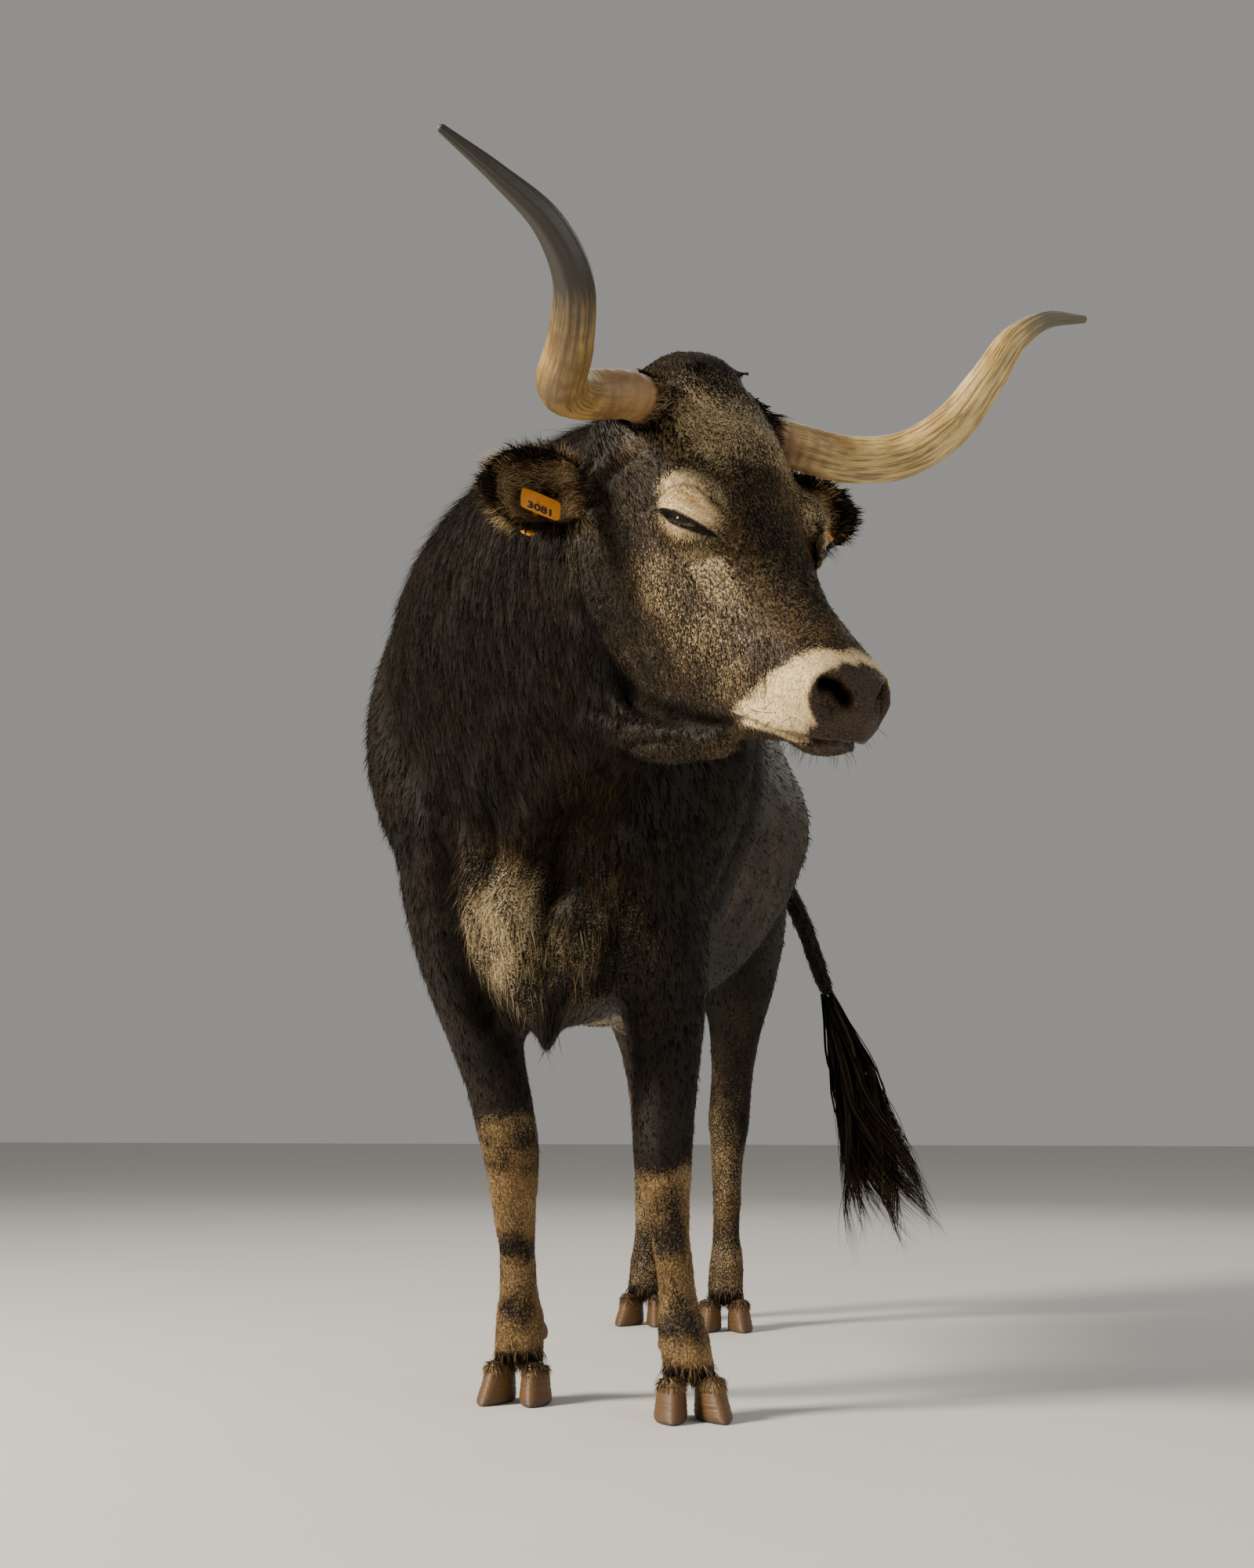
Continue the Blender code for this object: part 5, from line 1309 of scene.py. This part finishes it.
lengths *= 1 - 0.60 * near(crown, (0.050, 0.005, 0.018), (0.055, 0.055, 0.040))
sag = -(0.20 + 0.32 * ramp(crown[:, 2], -0.03, 0.01))[:, None] * normals
coat_piece("coat_poll", (roots, ways, normals), lengths, 0.0022, (4, 0.045, 0.05), POLL_REGION, dice,
           sag, clumps=1.0)

# Collars of the horns: long hair of the poll that grows in a ring round each horn's root and
# lies outwards over it.
COLLAR_HAIRS = 620
# Middle line of each horn, in the head's axes; the right horn's is mirrored like its side
HORN_LINES = {
    "left": ((0.090, 0.020, -0.062), (0.146, 0.045, -0.046), (0.211, 0.082, -0.030),
             (0.267, 0.112, 0.008), (0.310, 0.118, 0.068), (0.343, 0.098, 0.132),
             (0.382, 0.064, 0.185), (0.444, 0.037, 0.214), (0.520, 0.025, 0.225)),
    "right": ((0.080, 0.030, -0.040), (0.141, 0.048, -0.022), (0.218, 0.067, -0.024),
              (0.276, 0.098, 0.001), (0.305, 0.116, 0.066), (0.334, 0.110, 0.136),
              (0.384, 0.084, 0.186), (0.449, 0.050, 0.212), (0.517, 0.012, 0.231))}
for side in SIDES:
    start, after = on_head(HORN_LINES[side][0], side), on_head(HORN_LINES[side][1], side)
    way = aimed(after - start)
    lean = aimed(np.cross(way, HEAD[:, 1]))
    other = np.cross(way, lean)
    dice = np.random.default_rng(210 + (side == "left"))
    angle = dice.random(COLLAR_HAIRS) * 2 * math.pi
    normals = np.outer(np.cos(angle), lean) + np.outer(np.sin(angle), other)
    place = 0.006 + 0.026 * dice.random(COLLAR_HAIRS)
    off = 0.0335 + 0.0030 * dice.random(COLLAR_HAIRS)
    roots = start + np.outer(place, way) + normals * off[:, None]
    ways = unit(way * 0.8 + HEAD[:, 1] * 0.45 + 0.18 * dice.normal(size=roots.shape))
    ways = laid(ways, normals, 0.03)
    lengths = uneven_lot(0.027, 0.6, 0.7, COLLAR_HAIRS, dice)
    coat_piece(f"coat_horn_root_{side}", (roots, ways, normals), lengths, 0.0020, (4, 0.05, 0.06),
               POLL_REGION, dice, -0.10 * normals)

# Hair of the ears: a dark shaggy fringe round the rim, long brown hair that stands out of the
# hollow and shorter hair all over, all kept clear of the tags.
RIM_HAIRS = 900
HOLLOW_HAIRS = 900
EAR_HAIRS = 2600
# Where each tag is riveted: share of the ear's length, and how far below its middle line
TAG_PLACE = {"left": (0.62, 0.034), "right": (0.56, 0.019)}


def tag_middle(side):
    """Middle of a tag's plate, at its rivet."""
    root, length, along, over, front = ear_axes(side)
    share, below = TAG_PLACE[side]
    return root + along * length * share - front * 0.012 + over * below


def clear_of_tag(side, hairs, lengths):
    """The hairs of an ear that don't cross its tag, and their lengths."""
    roots, ways, normals = hairs
    along, over, front = ear_axes(side)[2:]
    middle = tag_middle(side)
    free = np.ones(len(roots), dtype=bool)
    for step in (0.0, 0.35, 0.7, 1.0):
        rest = roots + ways * (lengths * step)[:, None] - middle
        free &= (np.hypot((rest @ along) / 0.037, (rest @ over) / 0.029) > 1) | (rest @ front < -0.010)
    return (roots[free], ways[free], normals[free]), lengths[free]


for side in SIDES:
    root, length, along, over, front = ear_axes(side)
    dice = np.random.default_rng(310 + (side == "left"))
    turn = np.radians(-140 + 280 * dice.random(RIM_HAIRS))
    place = 0.52 + 0.36 * np.cos(turn)
    spread = EAR_HALF_WIDTH * 0.80 * np.sin(turn)
    roots = root + along * (length * place)[:, None] + over * spread[:, None]
    roots = roots - front * (0.006 + 0.014 * dice.random(RIM_HAIRS))[:, None]
    away = along * np.cos(turn)[:, None] + over * np.sin(turn)[:, None]
    ways = unit(away + along * 0.55 + 0.25 * dice.normal(size=roots.shape))
    normals = unit(front + 0.3 * dice.normal(size=roots.shape))
    lengths = uneven_lot(0.027, 0.55, 0.8, RIM_HAIRS, dice)
    hairs, lengths = clear_of_tag(side, (roots, ways, normals), lengths)
    coat_piece(f"coat_ear_rim_{side}", hairs, lengths, 0.0020, (5, 0.04, 0.08), (root, along), dice)
    across = dice.random(HOLLOW_HAIRS) * 1.5 - 0.75
    place = 0.30 + 0.50 * dice.random(HOLLOW_HAIRS)
    roots = root + along * (length * place)[:, None] + over * (EAR_HALF_WIDTH * across * 0.9)[:, None]
    roots = roots - front * (EAR_HOLLOW * 0.88 * (1 - across ** 2))[:, None]
    ways = unit(along * 0.8 + front * 0.35 - over * across[:, None] * 0.5
                + 0.22 * dice.normal(size=roots.shape))
    lengths = uneven_lot(0.026, 0.6, 0.7, HOLLOW_HAIRS, dice)
    hairs = roots, ways, np.tile(front, (HOLLOW_HAIRS, 1))
    hairs, lengths = clear_of_tag(side, hairs, lengths)
    coat_piece(f"coat_ear_hollow_{side}", hairs, lengths, 0.0016, (5, 0.03, 0.08), (root, along), dice)
    weight = face_share(at_ear * (local[:, 0] * SIGN[side] > 0)) + 1e-9
    roots, normals, dice = scattered(EAR_HAIRS, weight, 330 + (side == "left"))
    ways = unit(lie_of_coat(roots, normals) + 0.18 * dice.normal(size=roots.shape) + 0.10 * normals)
    lengths = uneven_lot(0.015, 0.7, 0.6, EAR_HAIRS, dice)
    hairs, lengths = clear_of_tag(side, (roots, ways, normals), lengths)
    coat_piece(f"coat_ear_{side}", hairs, lengths, 0.0018, (2, 0.06, 0.04), (root, along), dice)

# Switch of the tail: long, black, wavy hair that grows round the tail's end and hangs from it
# in separate locks.
SWITCH_LOCKS, LOCK_HAIRS = 40, 22
SWITCH_START, SWITCH_RUN = 0.66, 0.30       # shares of the tail's line
LOCK_TURN = 2.39996                         # angle from lock to lock, which spreads them evenly
dice = np.random.default_rng(400)
track = through(TAIL_LINE, 120)
roots, ways, outs, sizes, wides, phases = [], [], [], [], [], []
for lock in range(SWITCH_LOCKS):
    share = (lock + 0.5) / SWITCH_LOCKS
    turn = lock * LOCK_TURN
    radial = np.array([math.cos(turn), 0.8 * math.sin(turn), 0.0])
    place = track[int((SWITCH_START + SWITCH_RUN * share) * (len(track) - 1))] + radial * 0.006
    way = aimed(radial * (0.05 + 0.22 * share + 0.09 * dice.random()) + (0.29, -0.04, -1.0))
    length = (place[2] - 0.080 - 0.13 * dice.random()) * (0.88 + 0.12 * share)
    phase = dice.random() * 6.283
    for _ in range(LOCK_HAIRS):
        stray = radial + 0.6 * dice.normal(size=3)
        roots.append(place + stray * 0.0065)
        ways.append(way - stray * 0.016 + 0.012 * dice.normal(size=3))
        outs.append(radial + (0, 0, 0.05))
        sizes.append(length * (0.70 + 0.32 * dice.random()))
        wides.append(0.0064 * (0.6 + 0.8 * dice.random()))
        phases.append(phase + 0.35 * dice.normal())
roots, ways, outs = np.array(roots), unit(np.array(ways)), np.array(outs)
outs = unit(outs - ways * (outs * ways).sum(axis=1)[:, None])
switch = coat_piece("switch_hair", (roots, ways, outs), np.array(sizes), np.array(wides),
                    (12, 0.05, 0.085), ((0.19, 1.24, 0.4), (0, 0, 1)), dice,
                    phase=np.array(phases))
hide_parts("tail_switch")

# Two horns: hollow sheaths of keratin over bone, ringed and tan at the root, cream with
# brown cracks in the middle and worn grey-black to the tips.
HORN_WORN = {"left": 0.78, "right": 0.56}      # share of the length where the dark tip begins
HORN_RADII = (0.030, 0.031, 0.032, 0.0315, 0.029, 0.025, 0.0195, 0.0125, 0.0055)


def horn_material():
    """Ringed tan root, yellow middle with brown cracks and grey-black tip, by place along."""
    look = Nodes("horn")
    along, around, worn = look.channels(look.attribute("Horn")["Color"])
    grain = look.add("CombineXYZ", X=look.times(along, 3.0), Y=look.times(around, 6.0),
                     Z=look.times(worn, 9.0))
    streaks = look.noise(3.0, 8.0, grain.outputs[0], 0.70)
    clouds = look.span(look.noise(16.0, 6.0), 0.36, 0.64)
    fine = look.add("CombineXYZ", X=look.times(along, 90.0), Y=look.times(around, 1.5), Z=worn)
    rings = look.noise(1.0, 4.0, fine.outputs[0])
    root = look.mix(clouds, (0.200, 0.092, 0.036, 1), (0.430, 0.262, 0.115, 1))
    root = look.mix(look.times(rings, 0.5), root, (0.120, 0.055, 0.022, 1))
    fresh = look.span(worn, HORN_WORN["right"], HORN_WORN["left"])
    aged = look.mix(clouds, (0.140, 0.084, 0.024, 1), (0.390, 0.255, 0.082, 1))
    cream = look.mix(clouds, (0.440, 0.290, 0.090, 1), (0.740, 0.550, 0.230, 1))
    cream = look.mix(fresh, aged, cream)
    cream = look.mix(look.span(streaks, 0.46, 0.58, 0.0, 0.80), cream, (0.120, 0.066, 0.020, 1))
    past_root = look.span(look.plus(along, look.times(clouds, 0.10)), 0.15, 0.34)
    colour = look.mix(past_root, root, cream)
    tip = look.mix(fresh, (0.040, 0.032, 0.021, 1), (0.230, 0.190, 0.125, 1))
    tip = look.mix(streaks, (0.012, 0.010, 0.008, 1), tip)
    past_middle = look.plus(look.minus(along, worn), look.times(streaks, 0.22))
    colour = look.mix(look.span(past_middle, 0.06, 0.17), colour, tip)
    look.bump(look.plus(look.times(streaks, 0.8), rings), 0.5, 0.0012)
    return look.done(colour, 0.40)


horn_look = horn_material()
for side in SIDES:
    count, sides = 150, 72
    line = through([on_head(place, side) for place in HORN_LINES[side]], count)
    girth = through([(radius, 0.0) for radius in HORN_RADII], count)[:, 0]
    ways = unit(np.gradient(line, axis=0))
    lean = np.cross(ways[0], (0.1, 0.2, 1.0))
    dice = np.random.default_rng(500 + (side == "left"))
    ripple = np.cumsum(0.7 + 0.6 * dice.random(count)) * 1.35
    rings, marks = [], []
    for index, (centre, way, radius) in enumerate(zip(line, ways, girth)):
        share = index / (count - 1)
        lean = aimed(lean - way * (lean @ way))
        other = np.cross(way, lean)
        ringed = 0.0006 * (1 - ramp(share, 0.10, 0.42)) * math.sin(ripple[index])
        ring = []
        for angle in np.linspace(0, 2 * math.pi, sides, endpoint=False):
            groove = 0.00035 * math.sin(9 * angle + 5 * share) * ramp(share, 0.2, 0.5)
            reach = radius - 0.0006 + ringed + groove
            ring.append(centre + reach * (lean * math.cos(angle) + other * math.sin(angle)))
            marks.append((share, abs(angle / math.pi - 1), HORN_WORN[side]))
        rings.append(ring)
    tip = line[-1] + ways[-1] * 0.004
    rings.append([tip + (place - line[-1]) * 0.35 for place in rings[-1]])
    marks += [(1.0, 0.5, HORN_WORN[side])] * sides + [(0.0, 0.5, 0.5), (1.0, 0.5, 0.5)]
    horn = rings_piece(f"horn_sheath_{side}", rings)
    write_attribute(horn, "Horn", np.array(marks))
    horn.data.shade_smooth()
    horn.data.materials.append(horn_look)
    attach(horn, "root")
    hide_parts(f"horn_{side}")

# Claws and dewclaws: hard horn shoes of the cloven feet, orange-tan and worn, with growth
# rings round them and flat soles on the floor.
CLAW_GRAIN = 0.0022
CLAW_HAIRS = 430


def claw_material():
    look = Nodes("claw")
    place = look.add("SeparateXYZ", Vector=look.place())
    level = look.add("CombineXYZ", Z=look.times(place.outputs["Z"], 9.0))
    rings = look.noise(40.0, 3.0, level.outputs[0])
    fibre = look.add("Mapping", Vector=look.place(), Scale=(1.0, 1.0, 0.12))
    streaks = look.noise(320.0, 3.0, fibre.outputs[0])
    colour = look.mix(look.noise(30.0), (0.052, 0.023, 0.006, 1), (0.175, 0.080, 0.022, 1))
    colour = look.mix(look.times(streaks, 0.55), colour, (0.030, 0.017, 0.009, 1))
    colour = look.mix(look.times(rings, 0.30), colour, (0.230, 0.130, 0.048, 1))
    # Painted shade along the claw's lower edge, darkest at the floor
    tone_and_shade = look.span(place.outputs["Z"], 0.0, 0.016, 0.75, 0.0)
    colour = look.mix(tone_and_shade, colour, (0.055, 0.040, 0.028, 1))
    look.bump(look.plus(rings, streaks), 0.5, 0.0010)
    return look.done(colour, 0.55)


claw_look = claw_material()
CORONETS = []
for limb in ("foreleg", "hind_leg"):
    for side in SIDES:
        for kind in ("claw_outer", "claw_inner", "dewclaw_outer", "dewclaw_inner"):
            node = f"{limb}_{side}_{kind}"
            horny = solid_copy(node, f"shoe_{node}")
            finish_with(horny, "REMESH", mode="VOXEL", voxel_size=CLAW_GRAIN)
            finish_with(horny, "SMOOTH", factor=0.5, iterations=50)
            finish_with(horny, "TRIANGULATE")
            places, faces = read_mesh(horny)
            if kind.startswith("claw"):
                normals = corner_normals(places, faces)
                level = places[:, 2] + 0.10 * places[:, 1]
                groove = 0.00045 * np.sin(level * 1150 + 2.0 * np.sin(level * 300))
                places += normals * (groove * ramp(places[:, 2], 0.004, 0.012))[:, None]
                centre = places[:, 0].mean()
                places[:, 0] = centre + (places[:, 0] - centre) * (1.10 - 2.2 * places[:, 2])
                places[:, 2] = np.where(places[:, 2] < 0.0012, 0.0, places[:, 2])
            horny.data.vertices.foreach_set("co", places.ravel())
            if kind.startswith("claw"):
                normals = corner_normals(places, faces)
                top = places[:, 2].max()
                weight = ramp(places[:, 2], top - 0.018, top - 0.006)[faces].mean(axis=1) + 1e-9
                seed = 700 + len(CORONETS)
                roots, ways = scattered(CLAW_HAIRS, weight, seed, (places, faces, normals))[:2]
                CORONETS.append((roots, ways, places.mean(axis=0)))
            horny.data.shade_smooth()
            horny.data.materials.clear()
            horny.data.materials.append(claw_look)
            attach(horny, "root")
            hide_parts(node)

# Hair of the claws' tops: short and dense, it grows from the soft coronet round each claw's
# upper edge and lies down over the horn.
dice = np.random.default_rng(720)
roots = np.vstack([item[0] for item in CORONETS])
normals = np.vstack([item[1] for item in CORONETS])
away = roots - np.repeat([item[2] for item in CORONETS], CLAW_HAIRS, axis=0)
away[:, 2] = 0
ways = unit(away) * 0.40 + (0, 0, -1.0) + 0.20 * dice.normal(size=roots.shape)
ways = laid(ways, normals, 0.10)
lengths = uneven_lot(0.0115, 0.6, 0.7, len(roots), dice)
sag = np.tile((0.0, 0.0, -0.25), (len(roots), 1))
coat_piece("coat_claw_tops", (roots, ways, normals), lengths, 0.0021, (2, 0.05, 0.04), FEET_REGION,
           dice, sag, above=0.004)

# Two ear tags: flexible orange plastic plates, riveted through the ears by a stud and a
# button, with a plain number raised in black.
TAG_TEXT = "3081"
DIGIT_SIZE = 0.0185
DIGIT_DROP = 0.0118         # how far the number stands below the stud


def tag_material():
    look = Nodes("tag")
    # Uneven tone of the orange plastic
    tone_and_shade = look.noise(60.0, 4.0)
    colour = look.mix(tone_and_shade, (0.760, 0.230, 0.018, 1), (0.880, 0.380, 0.040, 1))
    smear = look.span(look.noise(25.0, 5.0), 0.52, 0.75, 0.0, 0.5)
    colour = look.mix(smear, colour, (0.200, 0.110, 0.050, 1))
    look.bump(look.noise(500.0), 0.15, 0.0004)
    return look.done(colour, 0.40)


def ink_material():
    look = Nodes("tag_ink")
    colour = look.mix(look.noise(400.0), (0.012, 0.011, 0.010, 1), (0.050, 0.040, 0.030, 1))
    return look.done(colour, 0.5)


tag_look, ink_look = tag_material(), ink_material()
for side in SIDES:
    along, over, front = ear_axes(side)[2:]
    run = aimed(-along * 0.92 + over * 0.38)
    fall = over * 0.92 + front * 0.38
    fall = aimed(fall - run * (fall @ run))
    face = np.cross(run, fall)
    face *= np.sign(face @ front)
    right = np.cross(-fall, face)
    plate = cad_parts[f"ear_tag_{side}"]
    plate.data.materials.clear()
    plate.data.materials.append(tag_look)
    deselect()
    bpy.ops.object.text_add()
    digits = bpy.context.object
    digits.name = f"tag_number_{side}"
    digits.data.body = TAG_TEXT
    digits.data.align_x = "CENTER"
    digits.data.align_y = "CENTER"
    digits.data.size = DIGIT_SIZE
    digits.data.extrude = 0.0004
    digits.data.offset = 0.0006
    bpy.ops.object.convert(target="MESH")
    digits = bpy.context.object
    digits.data.name = digits.name
    places = np.array([corner.co for corner in digits.data.vertices])
    spot = tag_middle(side) + face * 0.0015 + fall * DIGIT_DROP
    places = spot + places[:, :1] * right + places[:, 1:2] * -fall + places[:, 2:] * face
    digits.data.vertices.foreach_set("co", places.ravel())
    turn_out(digits)
    digits.data.materials.clear()
    digits.data.materials.append(ink_look)
    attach(digits, "root")

# Studio: a plain pale floor, a broad warm light from the picture's upper left as in the
# photo, weaker fill from the right and behind, and the photo's camera.
deselect()
bpy.ops.mesh.primitive_plane_add(size=40.0, location=(0, 0, -0.0005))
floor = bpy.context.object
floor.name = "floor"
look = Nodes("floor")
plaster = look.mix(look.noise(3.0), (0.58, 0.57, 0.55, 1), (0.62, 0.61, 0.59, 1))
floor.data.materials.append(look.done(plaster, 0.85))


def studio_light(name, place, target, size, power, colour):
    """Broad soft lamp at a place, facing a target."""
    deselect()
    bpy.ops.object.light_add(type="AREA", location=place)
    lamp = bpy.context.object
    lamp.name = name
    lamp.data.size = size
    lamp.data.energy = power
    lamp.data.color = colour
    lamp.rotation_euler = (Vector(target) - Vector(place)).to_track_quat("-Z", "Y").to_euler()


studio_light("key_light", (-4.3, -2.5, 3.7), (-0.1, -0.3, 0.9), 1.5, 720.0, (1.0, 0.90, 0.76))
studio_light("fill_light", (4.2, -2.6, 2.4), (-0.1, 0.0, 0.8), 4.0, 85.0, (1.0, 0.96, 0.90))
studio_light("back_light", (0.5, 4.6, 3.8), (-0.2, 0.4, 1.0), 4.0, 80.0, (1.0, 0.97, 0.92))
world = bpy.data.worlds.new("studio")
world.use_nodes = True
sky = world.node_tree.nodes["Background"]
sky.inputs["Color"].default_value = (0.86, 0.84, 0.80, 1)
sky.inputs["Strength"].default_value = 0.35
bpy.context.scene.world = world

# The photo's camera: low in front of the animal, tilted slightly up.
deselect()
bpy.ops.object.camera_add(location=(0.4165, -3.5865, 0.460),
                          rotation=(math.radians(98.16), 0.0, math.radians(9.02)))
camera = bpy.context.object
camera.data.sensor_fit = "VERTICAL"
camera.data.sensor_height = 36.0
camera.data.lens = 50.72
bpy.context.scene.camera = camera
